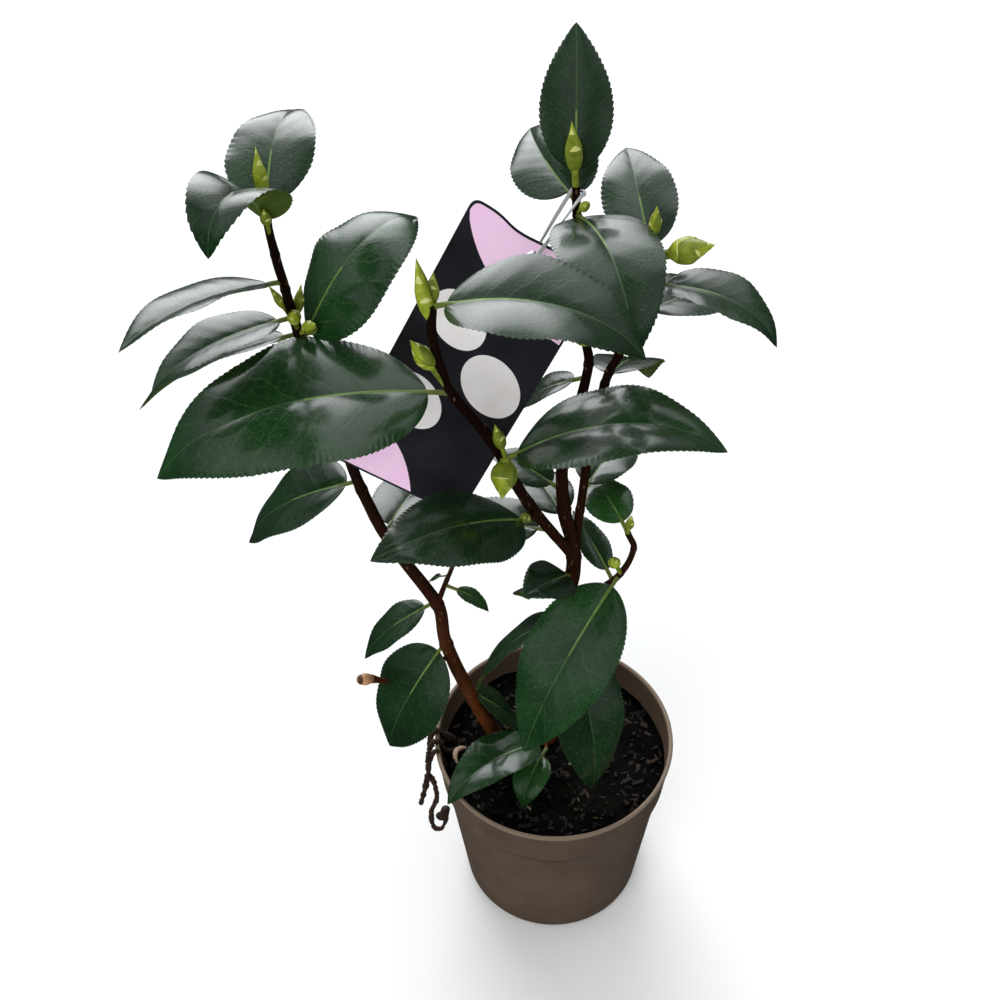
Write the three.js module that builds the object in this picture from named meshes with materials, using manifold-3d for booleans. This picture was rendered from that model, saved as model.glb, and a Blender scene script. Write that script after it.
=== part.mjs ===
// A young potted camellia: two woody stems that rise from the compost of a round pot, their boughs,
// leafy shoots with buds, and a blank plant card on a wire. Millimetres and degrees, +Z up. The
// origin is the centre of the pot's flat underside. The plant's front faces -Y.
import * as THREE from 'three';
import { mergeVertices } from 'three/addons/utils/BufferGeometryUtils.js';
import Module from 'manifold-3d';

const wasm = await Module();
wasm.setup();

// Driving dimensions
const GAP = 0.35; // clear space kept between neighbouring solids
const POT = {
  height: 118, rimRadius: 65, rimBand: 3, rimRound: 1, lip: 2.4, wall: 1.3,
  collarHeight: 26, collarRadius: 62.4, collarStep: 1.9,
  baseRadius: 51.5, baseCorner: 3, floor: 2.2, segments: 40,
};
const SOIL_TOP = 103;
const SOIL_EDGE_DROP = 2;
const CARD = { width: 60, length: 124, thickness: 0.8, corner: 4, hole: 3.2, holeCentre: [32, 10] };
const CARD_PLACE = { corner: [-33, 26, 431], azimuth: 208, pitch: -55, roll: -59 };
const INLAY_THICKNESS = 0.3;
const INLAY_MARGIN = 1;
const UPPER_BAND = { side: 36, middle: 31 }; // its lower edge, down from the card's top
const LOWER_BAND = { side: 98, middle: 102 }; // its upper edge
const OVALS = [
  { across: 0.3, down: 46, long: 14, short: 10 },
  { across: 0.72, down: 65, long: 15, short: 11 },
  { across: 0.3, down: 85, long: 14, short: 10 },
];
const OVAL_TILT = 0.5; // radians
const WIRE_RADIUS = 0.5;
const WIRE_LOOP = 3.4; // radius of the wire's loop round the stem
const WIRE_AT = 10.7; // internodes up the trunk's shoot

// Leaf form shared by all leaves
const LEAF = { fold: 14, curl: 22, petiole: 6, petioleRadius: 1.05, thicknessRatio: 0.013 };

// Woody limbs. A shoot is a list of internodes [length, azimuth, pitch]. The limb is its first
// internodes, up to `leafy`; above that the same shoot is the stem of a leafy crown.
const LIMBS = {
  left_stem: {
    foot: [-30, 7], radii: [3.9, 2.2, 1.5], leafy: 6, crown: 'left_crown',
    internodes: [
      [42, -172, 72], [52, -166, 76], [33, -144, 84], [46, -180, 66], [35, 170, 72], [64, -152, 80],
      [28, -150, 78], [23, -114, 80], [18, -100, 76], [16, -90, 76],
    ],
  },
  trunk: {
    foot: [-4, 10], radii: [4.6, 2.0, 1.6], leafy: 7, crown: 'leader_crown',
    internodes: [
      [52, -32, 86], [59, -18, 84], [40, -38, 84], [26, 126, 72], [25, 100, 80], [29, 30, 76],
      [23, 28, 78], [17, 140, 80], [28, 126, 82], [23, 118, 82], [12, 120, 84],
    ],
  },
  front_bough: {
    from: ['trunk', 3], radii: [2.6, 2.1, 1.7], leafy: 3, crown: 'front_crown',
    internodes: [
      [51, -156, 62], [48, -148, 68], [35, -146, 62], [19, -132, 70], [19, -116, 76], [15, -74, 78],
    ],
  },
  right_bough: {
    from: ['trunk', 3], radii: [2.2, 1.8, 1.4], leafy: 4, crown: 'right_crown',
    internodes: [
      [24, 72, 68], [36, 26, 84], [38, -18, 82], [17, -24, 72], [19, -44, 72], [18, -20, 72], [17, -8, 88],
    ],
  },
};

// What each crown carries. `at` counts internodes from the shoot's foot. A leaf's azimuth and pitch
// are its petiole's heading; droop bends it down towards the tip, roll and side turn and sweep it.
// Twigs grow by the seeded rule.
const CROWNS = {
  left_crown: {
    leaves: [
      { at: 10, azimuth: 90, pitch: 40, length: 53, width: 34, roll: -10, droop: 55, side: -5 },
      { at: 9.7, azimuth: -104, pitch: 74, length: 56, width: 31, roll: -8, droop: 135, side: 5, fold: 25 },
      { at: 8.2, azimuth: -145, pitch: 14, length: 62, width: 34, roll: 18, droop: 32, fold: 20 },
      { at: 7.35, azimuth: -150, pitch: 6, length: 55, width: 29, roll: 5, droop: 35, fold: 20 },
      { at: 7, azimuth: -176, pitch: -10, length: 68, width: 28, roll: 15, droop: 30, fold: 20 },
      { at: 6.8, azimuth: -5, pitch: 64, length: 74, width: 46, roll: 37, droop: 92, side: 31, fold: 0 },
      { at: 6.5, azimuth: 37, pitch: 57, length: 65, width: 33, roll: -24, droop: 40, side: 4, fold: -8 },
    ],
    buds: [
      { at: 10, azimuth: 98, pitch: 76, reach: 26, length: 17, radius: 2.4 },
      { at: 9.5, azimuth: -84, pitch: 64, reach: 18, length: 9, radius: 1.9 },
      { at: 7.2, azimuth: -171, pitch: 68, reach: 20, length: 12, radius: 1.6 },
      { at: 7.2, azimuth: 55, pitch: 67, reach: 16, length: 12, radius: 1.9 },
      { at: 7.1, azimuth: -82, pitch: 54, reach: 18, length: 8, radius: 2.5 },
      { at: 7, azimuth: -43, pitch: 40, reach: 15, length: 9, radius: 2.6 },
    ],
  },
  front_crown: {
    leaves: [
      {
        at: 3.1, azimuth: -163, pitch: 18, length: 117, width: 63, roll: -12, droop: 64, fold: 10,
        petiole: 10,
      },
      { at: 5.9, azimuth: -22, pitch: 24, length: 79, width: 41, roll: 10, droop: 70, fold: 18 },
    ],
    buds: [
      { at: 5.1, azimuth: -130, pitch: 81, reach: 33, length: 27, radius: 2.9 },
      { at: 5.8, azimuth: 80, pitch: 60, reach: 13, length: 11, radius: 2.3 },
      { at: 3.2, azimuth: -138, pitch: 62, reach: 36, length: 19, radius: 3.2 },
    ],
  },
  leader_crown: {
    leaves: [
      { at: 10, azimuth: -76, pitch: 20, length: 77, width: 41, droop: 84 },
      { at: 11, azimuth: 88, pitch: 60, length: 55, width: 29, droop: 15 },
      { at: 10.4, azimuth: 118, pitch: 12, length: 52, width: 31, roll: -35, droop: 30, side: -10 },
      { at: 10.2, azimuth: 84, pitch: 42, length: 32, width: 16, droop: 20 },
    ],
    buds: [
      { at: 11, azimuth: 156, pitch: 85, reach: 26, length: 20, radius: 3.2 },
      { at: 10.05, azimuth: -66, pitch: 44, reach: 14, length: 9, radius: 1.8 },
      { at: 8.1, azimuth: -92, pitch: 10, reach: 15, length: 12, radius: 5 },
    ],
    twigs: [
      { at: 7.75, azimuth: 135, pitch: 5, count: 4, blade: [28, 40], seed: 54 },
      { at: 9.5, azimuth: 15, pitch: 5, count: 3, blade: [28, 40], seed: 179 },
    ],
  },
  right_crown: {
    leaves: [
      { at: 6.8, azimuth: 98, pitch: 32, length: 56, width: 30, roll: -10, droop: 36 },
      { at: 6.2, azimuth: -26, pitch: 12, length: 53, width: 28, droop: 65, fold: 20 },
      { at: 5.3, azimuth: 36, pitch: 0, length: 56, width: 34, droop: 40 },
    ],
    buds: [
      { at: 6.9, azimuth: -31, pitch: 27, reach: 27, length: 19, radius: 4.7 },
      { at: 7, azimuth: 80, pitch: 74, reach: 18, length: 11, radius: 2.2 },
    ],
    twigs: [{ at: 5, azimuth: 150, pitch: 65, count: 2, blade: [36, 52], seed: 366 }],
  },
};

// Short leafy shoots and single leaves on the limbs: `on` and `at` say where, `internodes` is the
// shoot's own stem, where it has one.
const SIDE_SHOOTS = {
  right_shoot: {
    on: 'trunk', at: 2.2, radii: [1.8, 1.4],
    internodes: [[16, -6, 24], [17, -12, 52], [17, 2, 72], [13, -150, 72]],
    leaves: [
      { at: 1.9, azimuth: -134, pitch: -34, length: 98, width: 48, roll: -5, droop: 35, fold: 10 },
      { at: 1.6, azimuth: 116, pitch: 26, length: 36, width: 16, droop: 15 },
      { at: 4, azimuth: 116, pitch: 28, length: 37, width: 24, roll: -5, droop: 60, fold: 5 },
    ],
    buds: [
      { at: 2, azimuth: -129, pitch: 63, reach: 20, length: 9, radius: 2.6 },
      { at: 4, azimuth: -2, pitch: 85, reach: 12, length: 9, radius: 1.8 },
    ],
  },
  left_twig: {
    on: 'left_stem', at: 3, radii: [1.4, 1.0], internodes: [[18, -2, 72], [16, 20, 68]],
    leaves: [
      { at: 1.9, azimuth: 156, pitch: -12, length: 15, width: 8, droop: 15 },
      { at: 1.2, azimuth: 150, pitch: -34, length: 10, width: 6, droop: 20 },
      { at: 0.8, azimuth: -18, pitch: -12, length: 20, width: 10, droop: 40 },
    ],
  },
  foot_shoot: {
    on: 'trunk', at: 0.25, radii: [1.5, 1.1], internodes: [[12, -96, 4], [6, -88, -8]],
    leaves: [
      { at: 1.2, azimuth: -148, pitch: 26, length: 64, width: 31, roll: 5, droop: 65, fold: 20 },
      { at: 2, azimuth: -118, pitch: 10, length: 32, width: 20, roll: 5, droop: 60 },
    ],
  },
  bough_leaf_low: {
    on: 'front_bough', at: 0.9, radii: [1.6, 1.3], internodes: [[10, -100, 12]],
    leaves: [
      { at: 0.95, azimuth: -138, pitch: 36, length: 85, width: 41, roll: -17, droop: 32, side: 5, fold: 5 },
    ],
    buds: [{ at: 0.9, azimuth: -120, pitch: 48, reach: 10, length: 7, radius: 2 }],
  },
  bough_leaf_right: {
    on: 'front_bough', at: 1.75, radii: [1.6, 1.3], internodes: [[5, -60, 20]],
    leaves: [{ at: 1, azimuth: -12, pitch: 40, length: 92, width: 49, droop: 65 }],
    buds: [
      { at: 0.9, azimuth: -100, pitch: -50, reach: 17, length: 16, radius: 5.2 },
      { at: 0.9, azimuth: -140, pitch: 76, reach: 22, length: 15, radius: 2.4 },
    ],
  },
  bough_leaf_back: {
    on: 'front_bough', at: 0.5,
    leaves: [{ azimuth: 158, pitch: -6, length: 60, width: 32, roll: -10, droop: 40 }],
  },
};

// Single leaves straight on a limb
const SINGLE_LEAVES = [
  { on: 'left_stem', at: 1.2, azimuth: 14, pitch: -50, length: 52, width: 26, droop: 20 },
  {
    on: 'left_stem', at: 2.05, azimuth: -150, pitch: -48, length: 74, width: 45, roll: -15, droop: 35,
    fold: 10,
  },
  { on: 'left_stem', at: 3.05, azimuth: -172, pitch: -28, length: 47, width: 24, droop: 35 },
  { on: 'left_stem', at: 4.2, azimuth: 70, pitch: 0, length: 62, width: 34, droop: 50 },
  { on: 'left_stem', at: 5.1, azimuth: 166, pitch: -24, length: 79, width: 42, roll: -10, droop: 40 },
  { on: 'trunk', at: 1.7, azimuth: -64, pitch: -40, length: 88, width: 44, roll: -10, droop: 45 },
  { on: 'trunk', at: 1.9, azimuth: 178, pitch: -33, length: 64, width: 37, roll: 22, droop: 38 },
  { on: 'trunk', at: 2.35, azimuth: 118, pitch: -32, length: 56, width: 34, droop: 40 },
  { on: 'trunk', at: 2.65, azimuth: -124, pitch: 36, length: 40, width: 25, roll: -20, droop: 20 },
  { on: 'trunk', at: 3.7, azimuth: 112, pitch: 10, length: 48, width: 26, droop: 60 },
  { on: 'trunk', at: 4.4, azimuth: 148, pitch: 24, length: 34, width: 22, droop: 30 },
  { on: 'trunk', at: 6.7, azimuth: 160, pitch: -24, length: 42, width: 22, droop: 40 },
  { on: 'right_bough', at: 3.1, azimuth: 64, pitch: -10, length: 55, width: 31, roll: -10, droop: 55 },
  { on: 'right_bough', at: 1.3, azimuth: 60, pitch: 10, length: 50, width: 28, droop: 60 },
];

// Short shoots on the plant's back and inner side, grown by the seeded rule: azimuth and pitch are
// the shoot's heading, count its leaves, blade its shortest and longest leaf.
const BACK_SHOOTS = {
  back_shoot_1: {
    on: 'left_stem', at: 3.75, azimuth: 30, pitch: 35, count: 3, blade: [28, 40], seed: 91,
  },
  back_shoot_2: {
    on: 'left_stem', at: 5.25, azimuth: 105, pitch: 5, count: 4, blade: [36, 52], seed: 206,
  },
  back_shoot_3: { on: 'trunk', at: 5.5, azimuth: 45, pitch: 5, count: 1, blade: [36, 52], seed: 152 },
  back_shoot_4: {
    on: 'right_bough', at: 1.75, azimuth: 60, pitch: 20, count: 2, blade: [28, 40], seed: 4,
  },
};

// The seeded rule: lengths of internodes and how far they stray from the heading, the turn from
// leaf to leaf, and how each leaf lies. Pairs are the least and most drawn.
const RULE = {
  internode: [10, 16], stray: [-25, 25], rise: [-10, 10], firstTurn: [-60, 60], turn: [117.5, 157.5],
  leafPitch: [0, 35], widthRatio: [0.5, 0.58], roll: [-15, 15], droop: [25, 60], radii: [1.4, 1.0],
};
const CROWN_SPACE = new THREE.Box3(new THREE.Vector3(-166, -69, 108), new THREE.Vector3(79, 81, 478));
const LIMB_REACH = 9; // how near a limb's middle a seeded leaf's blade may come

// Headings, paths and lofted solids

function heading(azimuth, pitch) {
  const a = THREE.MathUtils.degToRad(azimuth);
  const p = THREE.MathUtils.degToRad(pitch);
  return new THREE.Vector3(Math.cos(p) * Math.cos(a), Math.cos(p) * Math.sin(a), Math.sin(p));
}

function shootPath(start, internodes) {
  const points = [start.clone()];
  for (const [length, azimuth, pitch] of internodes) {
    points.push(points.at(-1).clone().addScaledVector(heading(azimuth, pitch), length));
  }
  return new THREE.CatmullRomCurve3(points, false, 'catmullrom', 0.5);
}

function pathPoint(path, at) {
  return path.getPoint(at / (path.points.length - 1));
}

// Closed solid through rings of points, each ring counterclockwise about the direction of travel. A
// ring of one point is an apex; a wider first or last ring gets a flat end; a loop joins its ends.
function loft(rings, loop = false) {
  const positions = rings.flat().flatMap((point) => [point.x, point.y, point.z]);
  const starts = [];
  let count = 0;
  for (const ring of rings) {
    starts.push(count);
    count += ring.length;
  }
  const faces = [];
  const spans = loop ? rings.length : rings.length - 1;
  for (let i = 0; i < spans; i += 1) {
    const j = (i + 1) % rings.length;
    const sides = Math.max(rings[i].length, rings[j].length);
    const corner = (ring, k) => starts[ring] + (rings[ring].length === 1 ? 0 : k % sides);
    for (let k = 0; k < sides; k += 1) {
      if (rings[i].length > 1) faces.push(corner(i, k), corner(i, k + 1), corner(j, k + 1));
      if (rings[j].length > 1) faces.push(corner(i, k), corner(j, k + 1), corner(j, k));
    }
  }
  if (!loop) {
    const last = rings.length - 1;
    for (let k = 1; k < rings[0].length - 1; k += 1) {
      faces.push(starts[0], starts[0] + k + 1, starts[0] + k);
    }
    for (let k = 1; k < rings[last].length - 1; k += 1) {
      faces.push(starts[last], starts[last] + k, starts[last] + k + 1);
    }
  }
  const geometry = new THREE.BufferGeometry();
  geometry.setAttribute('position', new THREE.Float32BufferAttribute(positions, 3));
  geometry.setIndex(faces);
  return geometry;
}

function circleRing(centre, normal, binormal, radius, sides) {
  return Array.from({ length: sides }, (_, k) => {
    const angle = (2 * Math.PI * k) / sides;
    return centre.clone()
      .addScaledVector(normal, radius * Math.cos(angle))
      .addScaledVector(binormal, radius * Math.sin(angle));
  });
}

function acrossFrom(tangent, guide) {
  return guide.clone().addScaledVector(tangent, -guide.dot(tangent)).normalize();
}

// Round tapering rod through a list of centres, with a radius for each
function rod(centres, radii, sides) {
  let normal = new THREE.Vector3(0.6, 0.8, 0);
  const rings = centres.map((centre, i) => {
    const before = centres[Math.max(i - 1, 0)];
    const after = centres[Math.min(i + 1, centres.length - 1)];
    const tangent = after.clone().sub(before).normalize();
    normal = acrossFrom(tangent, normal);
    return circleRing(centre, normal, tangent.clone().cross(normal), radii[i], sides);
  });
  return loft(rings);
}

function toSolid(geometry) {
  const bare = geometry.clone();
  bare.deleteAttribute('normal');
  bare.deleteAttribute('uv');
  const merged = mergeVertices(bare, 1e-4);
  return new wasm.Manifold(new wasm.Mesh({
    numProp: 3,
    vertProperties: new Float32Array(merged.attributes.position.array),
    triVerts: new Uint32Array(merged.index.array),
  }));
}

function toGeometry(solid) {
  const mesh = solid.getMesh();
  const geometry = new THREE.BufferGeometry();
  geometry.setAttribute('position', new THREE.BufferAttribute(mesh.vertProperties, 3));
  geometry.setIndex(new THREE.BufferAttribute(mesh.triVerts, 1));
  return geometry;
}

function joined(geometries) {
  return geometries.map(toSolid).reduce((whole, piece) => whole.add(piece));
}

// Limbs

const LIMB_SIDES = 9;
const STEPS_PER_INTERNODE = 3;

// Radius falls evenly from the foot to the leafy part, and on to the shoot's tip.
function limbRadius(limb, at) {
  const [foot, leafy, tip] = limb.radii;
  if (at <= limb.leafy) return THREE.MathUtils.lerp(foot, leafy, at / limb.leafy);
  return THREE.MathUtils.lerp(leafy, tip, (at - limb.leafy) / (limb.internodes.length - limb.leafy));
}

function limbRod(limb, fromAt, toAt, extra = 0, beyond = 0) {
  const steps = (toAt - fromAt) * STEPS_PER_INTERNODE;
  const stations = Array.from({ length: steps + 1 }, (_, i) => fromAt + i / STEPS_PER_INTERNODE);
  if (beyond > 0) stations.push(toAt + beyond);
  const centres = stations.map((at) => pathPoint(limb.path, at));
  const radii = stations.map((at) => limbRadius(limb, at) + extra);
  return rod(centres, radii, LIMB_SIDES);
}

function placeLimbs() {
  for (const limb of Object.values(LIMBS)) {
    const start = limb.foot
      ? new THREE.Vector3(...limb.foot, SOIL_TOP + GAP)
      : pathPoint(LIMBS[limb.from[0]].path, limb.from[1]);
    limb.path = shootPath(start, limb.internodes);
  }
}

// The limb's own length, thicker by the gap and a little past its end, for cutting its neighbours clear
function limbClearance(limb) {
  return toSolid(limbRod(limb, 0, limb.leafy, GAP, (1.3 * GAP) / limb.internodes[limb.leafy][0]));
}

function levelFoot(geometry, level) {
  const position = geometry.attributes.position;
  for (let i = 0; i < LIMB_SIDES; i += 1) position.setZ(i, level);
  return geometry;
}

// Leaves and buds

// Stretches along the blade: a small leaf needs fewer
function leafSteps(leaf) {
  return leaf.length > 42 ? 6 : 4;
}

function leafThickness(leaf) {
  return Math.max(0.8, leaf.length * LEAF.thicknessRatio);
}

// Half width along the blade, from 0 at its base through 1 at its widest to 0 at its tip
function bladeOutline(t) {
  return (t ** 0.6 * (1 - t) ** 0.95) / 0.3554;
}

// The blade's midrib points and the frame (along, side, up) at each, from its petiole's foot
function leafMidrib(root, leaf) {
  const { roll = 0, droop = 30, side: sweep = 0, petiole = LEAF.petiole } = leaf;
  const along = heading(leaf.azimuth, leaf.pitch);
  const side = heading(leaf.azimuth + 90, 0);
  const up = along.clone().cross(side);
  side.applyAxisAngle(along, THREE.MathUtils.degToRad(roll));
  up.applyAxisAngle(along, THREE.MathUtils.degToRad(roll));
  const point = root.clone().addScaledVector(along, petiole);
  const midrib = [{ point: point.clone(), side: side.clone(), up: up.clone(), t: 0 }];
  const steps = leafSteps(leaf);
  for (let i = 1; i <= steps; i += 1) {
    const t = i / steps;
    const bend = (THREE.MathUtils.degToRad(droop) / steps) * (1.6 * t + 0.12);
    along.applyAxisAngle(side, bend);
    up.applyAxisAngle(side, bend);
    const turn = THREE.MathUtils.degToRad(sweep) / steps;
    along.applyAxisAngle(up, turn);
    side.applyAxisAngle(up, turn);
    point.addScaledVector(along, leaf.length / steps);
    midrib.push({ point: point.clone(), side: side.clone(), up: up.clone(), t });
  }
  return midrib;
}

// A point of the blade: across is -1 to 1 from edge to edge, lift is out of its middle surface
function bladePoint(station, leaf, across, lift) {
  const half = (leaf.width / 2) * bladeOutline(station.t);
  const { fold = LEAF.fold } = leaf;
  const slope = THREE.MathUtils.degToRad(fold - (LEAF.curl * Math.abs(across)) / 2);
  return station.point.clone()
    .addScaledVector(station.side, across * half * Math.cos(slope))
    .addScaledVector(station.up, Math.abs(across) * half * Math.sin(slope) + lift);
}

function leafGeometries(root, leaf) {
  const midrib = leafMidrib(root, leaf);
  const lift = leafThickness(leaf) / 2;
  const rings = midrib.map((station, i) => {
    if (i === 0 || i === midrib.length - 1) return [station.point];
    return [
      bladePoint(station, leaf, 1, 0), bladePoint(station, leaf, 0.5, lift),
      bladePoint(station, leaf, 0, lift), bladePoint(station, leaf, -0.5, lift),
      bladePoint(station, leaf, -1, 0), bladePoint(station, leaf, -0.5, -lift),
      bladePoint(station, leaf, 0, -lift), bladePoint(station, leaf, 0.5, -lift),
    ];
  });
  const thick = Math.min(LEAF.petioleRadius, leaf.length / 22);
  const petiole = rod([root, midrib[0].point, midrib[1].point], [thick, thick, thick * 0.5], 5);
  return [loft(rings), petiole];
}

const BUD_SIDES = 6;
const BUD_PROFILE = [[0, 0.45], [0.2, 0.9], [0.45, 1], [0.75, 0.62], [1, 0]];

function budGeometries(root, bud) {
  const along = heading(bud.azimuth, bud.pitch);
  const normal = acrossFrom(along, new THREE.Vector3(0.2, 0.5, 0.8));
  const binormal = along.clone().cross(normal);
  const foot = root.clone().addScaledVector(along, bud.reach - bud.length);
  const rings = BUD_PROFILE.map(([t, width]) => {
    const centre = foot.clone().addScaledVector(along, t * bud.length);
    return width === 0 ? [centre] : circleRing(centre, normal, binormal, bud.radius * width, BUD_SIDES);
  });
  const stalk = Math.max(bud.radius * 0.42, 0.8);
  const inside = foot.clone().addScaledVector(along, bud.length * 0.3);
  return [loft(rings), rod([root, inside], [stalk, stalk], 5)];
}

function growths(path, { leaves = [], buds = [] }) {
  return [
    ...leaves.flatMap((leaf) => leafGeometries(pathPoint(path, leaf.at ?? 0), leaf)),
    ...buds.flatMap((bud) => budGeometries(pathPoint(path, bud.at), bud)),
  ];
}

// A shoot's own stem, where it has one, with its leaves and buds
function shootGeometries(limb, shoot) {
  const path = shootPath(pathPoint(limb.path, shoot.at), shoot.internodes ?? [[1, 0, 90]]);
  const pieces = growths(path, shoot);
  if (shoot.internodes) {
    const steps = shoot.internodes.length * 2;
    const centres = path.getPoints(steps);
    const radii = centres.map((_, i) => THREE.MathUtils.lerp(...shoot.radii, i / steps));
    pieces.push(rod(centres, radii, 6));
  }
  return pieces;
}

// Repeatable draws between two bounds
function seededDraws(seed) {
  let state = seed;
  return ([low, high]) => {
    state = (state * 16807) % 2147483647;
    return low + ((high - low) * state) / 2147483647;
  };
}

// A seeded leaf is kept if its midrib stays in the crown's space and its blade clear of the limbs.
function staysClear(root, leaf) {
  const points = leafMidrib(root, leaf).map((station) => station.point);
  const limbPoints = Object.values(LIMBS).flatMap(({ path, internodes }) => (
    path.getPoints(internodes.length * 4)
  ));
  const clearOfLimbs = (point) => limbPoints.every((other) => point.distanceTo(other) > LIMB_REACH);
  return points.every((point) => CROWN_SPACE.containsPoint(point)) && points.slice(2).every(clearOfLimbs);
}

// The seeded rule: a leaf at the end of each internode, turned round from the leaf before it
function grown(limb, shoot) {
  const draw = seededDraws(shoot.seed);
  const internodes = [];
  const leaves = [];
  let azimuth = shoot.azimuth + draw(RULE.firstTurn);
  for (let at = 1; at <= shoot.count; at += 1) {
    internodes.push([
      draw(RULE.internode), shoot.azimuth + draw(RULE.stray), shoot.pitch + draw(RULE.rise),
    ]);
    const length = draw(shoot.blade);
    const pitch = draw(RULE.leafPitch);
    const width = length * draw(RULE.widthRatio);
    leaves.push({ at, azimuth, pitch, length, width, roll: draw(RULE.roll), droop: draw(RULE.droop) });
    azimuth += draw(RULE.turn);
  }
  const path = shootPath(pathPoint(limb.path, shoot.at), internodes);
  const kept = leaves.filter((leaf) => staysClear(pathPoint(path, leaf.at), leaf));
  return { ...shoot, internodes, leaves: kept, radii: RULE.radii };
}

// A crown on the leafy end of a limb, or a shoot on its side, cut clear of the limb
function crownSolid(limb, crown) {
  const stem = limbRod(limb, limb.leafy, limb.internodes.length);
  const twigs = (crown.twigs ?? []).flatMap((twig) => shootGeometries(limb, grown(limb, twig)));
  return joined([stem, ...growths(limb.path, crown), ...twigs]).subtract(limbClearance(limb));
}

function shootSolid(shoot) {
  const limb = LIMBS[shoot.on];
  return joined(shootGeometries(limb, shoot)).subtract(limbClearance(limb));
}

// Pot and compost

function arcPoints(centreX, centreY, radius, fromAngle, toAngle, steps) {
  return Array.from({ length: steps + 1 }, (_, i) => {
    const angle = THREE.MathUtils.degToRad(THREE.MathUtils.lerp(fromAngle, toAngle, i / steps));
    return new THREE.Vector2(centreX + radius * Math.cos(angle), centreY + radius * Math.sin(angle));
  });
}

const COLLAR_FOOT = POT.height - POT.collarHeight;
const WALL_TOP = new THREE.Vector2(POT.collarRadius - POT.collarStep, COLLAR_FOOT - 1);

function turned(profile) {
  const geometry = new THREE.LatheGeometry(profile, POT.segments);
  geometry.rotateX(Math.PI / 2);
  return geometry;
}

function potGeometry() {
  const { baseRadius, baseCorner, rimRadius, rimBand, rimRound, height } = POT;
  const { lip, wall, floor, collarRadius } = POT;
  return turned([
    new THREE.Vector2(0, 0),
    ...arcPoints(baseRadius - baseCorner, baseCorner, baseCorner, -90, -6, 3),
    WALL_TOP,
    new THREE.Vector2(collarRadius, COLLAR_FOOT),
    new THREE.Vector2(rimRadius - rimRound / 2, height - rimBand),
    new THREE.Vector2(rimRadius, height - rimRound),
    new THREE.Vector2(rimRadius - rimRound, height),
    new THREE.Vector2(rimRadius - lip + rimRound / 2, height),
    new THREE.Vector2(rimRadius - lip, height - rimRound),
    new THREE.Vector2(collarRadius - wall, COLLAR_FOOT + 0.6),
    new THREE.Vector2(WALL_TOP.x - wall, WALL_TOP.y - 0.6),
    new THREE.Vector2(baseRadius - wall, floor),
    new THREE.Vector2(0, floor),
  ]);
}

function soilGeometry() {
  const { baseRadius, wall, floor, collarRadius, rimRadius, lip } = POT;
  const clear = wall + GAP;
  const rise = (SOIL_TOP - COLLAR_FOOT) / POT.collarHeight;
  const edge = THREE.MathUtils.lerp(collarRadius - clear, rimRadius - lip - GAP, rise * 0.8);
  return turned([
    new THREE.Vector2(0, floor + GAP),
    new THREE.Vector2(baseRadius - clear, floor + GAP),
    new THREE.Vector2(WALL_TOP.x - clear, WALL_TOP.y - 0.6),
    new THREE.Vector2(collarRadius - clear - 0.1, COLLAR_FOOT + 1),
    new THREE.Vector2(edge, SOIL_TOP - SOIL_EDGE_DROP),
    new THREE.Vector2(edge * 0.72, SOIL_TOP),
    new THREE.Vector2(0, SOIL_TOP),
  ]);
}

// Plant card, its plain printed shapes and its wire. Card shapes are drawn with x across from the
// card's left edge, y down from its top edge and z into the card from its front face.

function cardMatrix() {
  const { azimuth, pitch, roll, corner } = CARD_PLACE;
  const down = heading(azimuth, pitch);
  const across = heading(azimuth + 90, 0).applyAxisAngle(down, THREE.MathUtils.degToRad(roll));
  const inward = across.clone().cross(down);
  return new THREE.Matrix4().makeBasis(across, down, inward).setPosition(...corner);
}

function cardPoint(x, y, z) {
  return new THREE.Vector3(x, y, z).applyMatrix4(cardMatrix());
}

function cardOutline(inset) {
  const { width, length, corner } = CARD;
  const shape = new THREE.Shape();
  shape.moveTo(inset, corner);
  shape.quadraticCurveTo(inset, inset, corner, inset);
  shape.bezierCurveTo(width * 0.3, inset, width * 0.25, 4 + inset, width * 0.5, 3 + inset);
  shape.lineTo(width - corner, 2 + inset);
  shape.quadraticCurveTo(width - inset, 2 + inset, width - inset, corner + 2);
  shape.lineTo(width - inset, length - corner);
  shape.quadraticCurveTo(width - inset, length - inset, width - corner, length - inset);
  shape.lineTo(corner, length - inset);
  shape.quadraticCurveTo(inset, length - inset, inset, length - corner);
  shape.closePath();
  return shape;
}

function holePath() {
  const path = new THREE.Path();
  path.absarc(...CARD.holeCentre, CARD.hole, 0, 2 * Math.PI, true);
  return path;
}

function cardSheet(shape, thickness, level) {
  const geometry = new THREE.ExtrudeGeometry(shape, {
    depth: thickness, bevelEnabled: false, curveSegments: 5,
  });
  geometry.translate(0, 0, level);
  geometry.applyMatrix4(cardMatrix());
  return geometry;
}

function upperBandShape() {
  const { width, corner } = CARD;
  const edge = INLAY_MARGIN;
  const shape = new THREE.Shape();
  shape.moveTo(edge, corner + 2);
  shape.quadraticCurveTo(edge, edge, corner + edge, edge);
  shape.bezierCurveTo(width * 0.3, edge, width * 0.25, 4 + edge, width * 0.5, 3 + edge);
  shape.lineTo(width - corner, 2 + edge);
  shape.lineTo(width - edge, corner + 3);
  shape.lineTo(width - edge, UPPER_BAND.side);
  shape.quadraticCurveTo(width * 0.3, UPPER_BAND.middle, edge, corner + 2);
  shape.holes.push(holePath());
  return shape;
}

function lowerBandShape() {
  const { width, length, corner } = CARD;
  const edge = INLAY_MARGIN;
  const shape = new THREE.Shape();
  shape.moveTo(edge, LOWER_BAND.side);
  shape.quadraticCurveTo(width * 0.4, LOWER_BAND.middle, width * 0.6, length - edge);
  shape.lineTo(corner, length - edge);
  shape.lineTo(edge, length - corner);
  shape.closePath();
  return shape;
}

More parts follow.
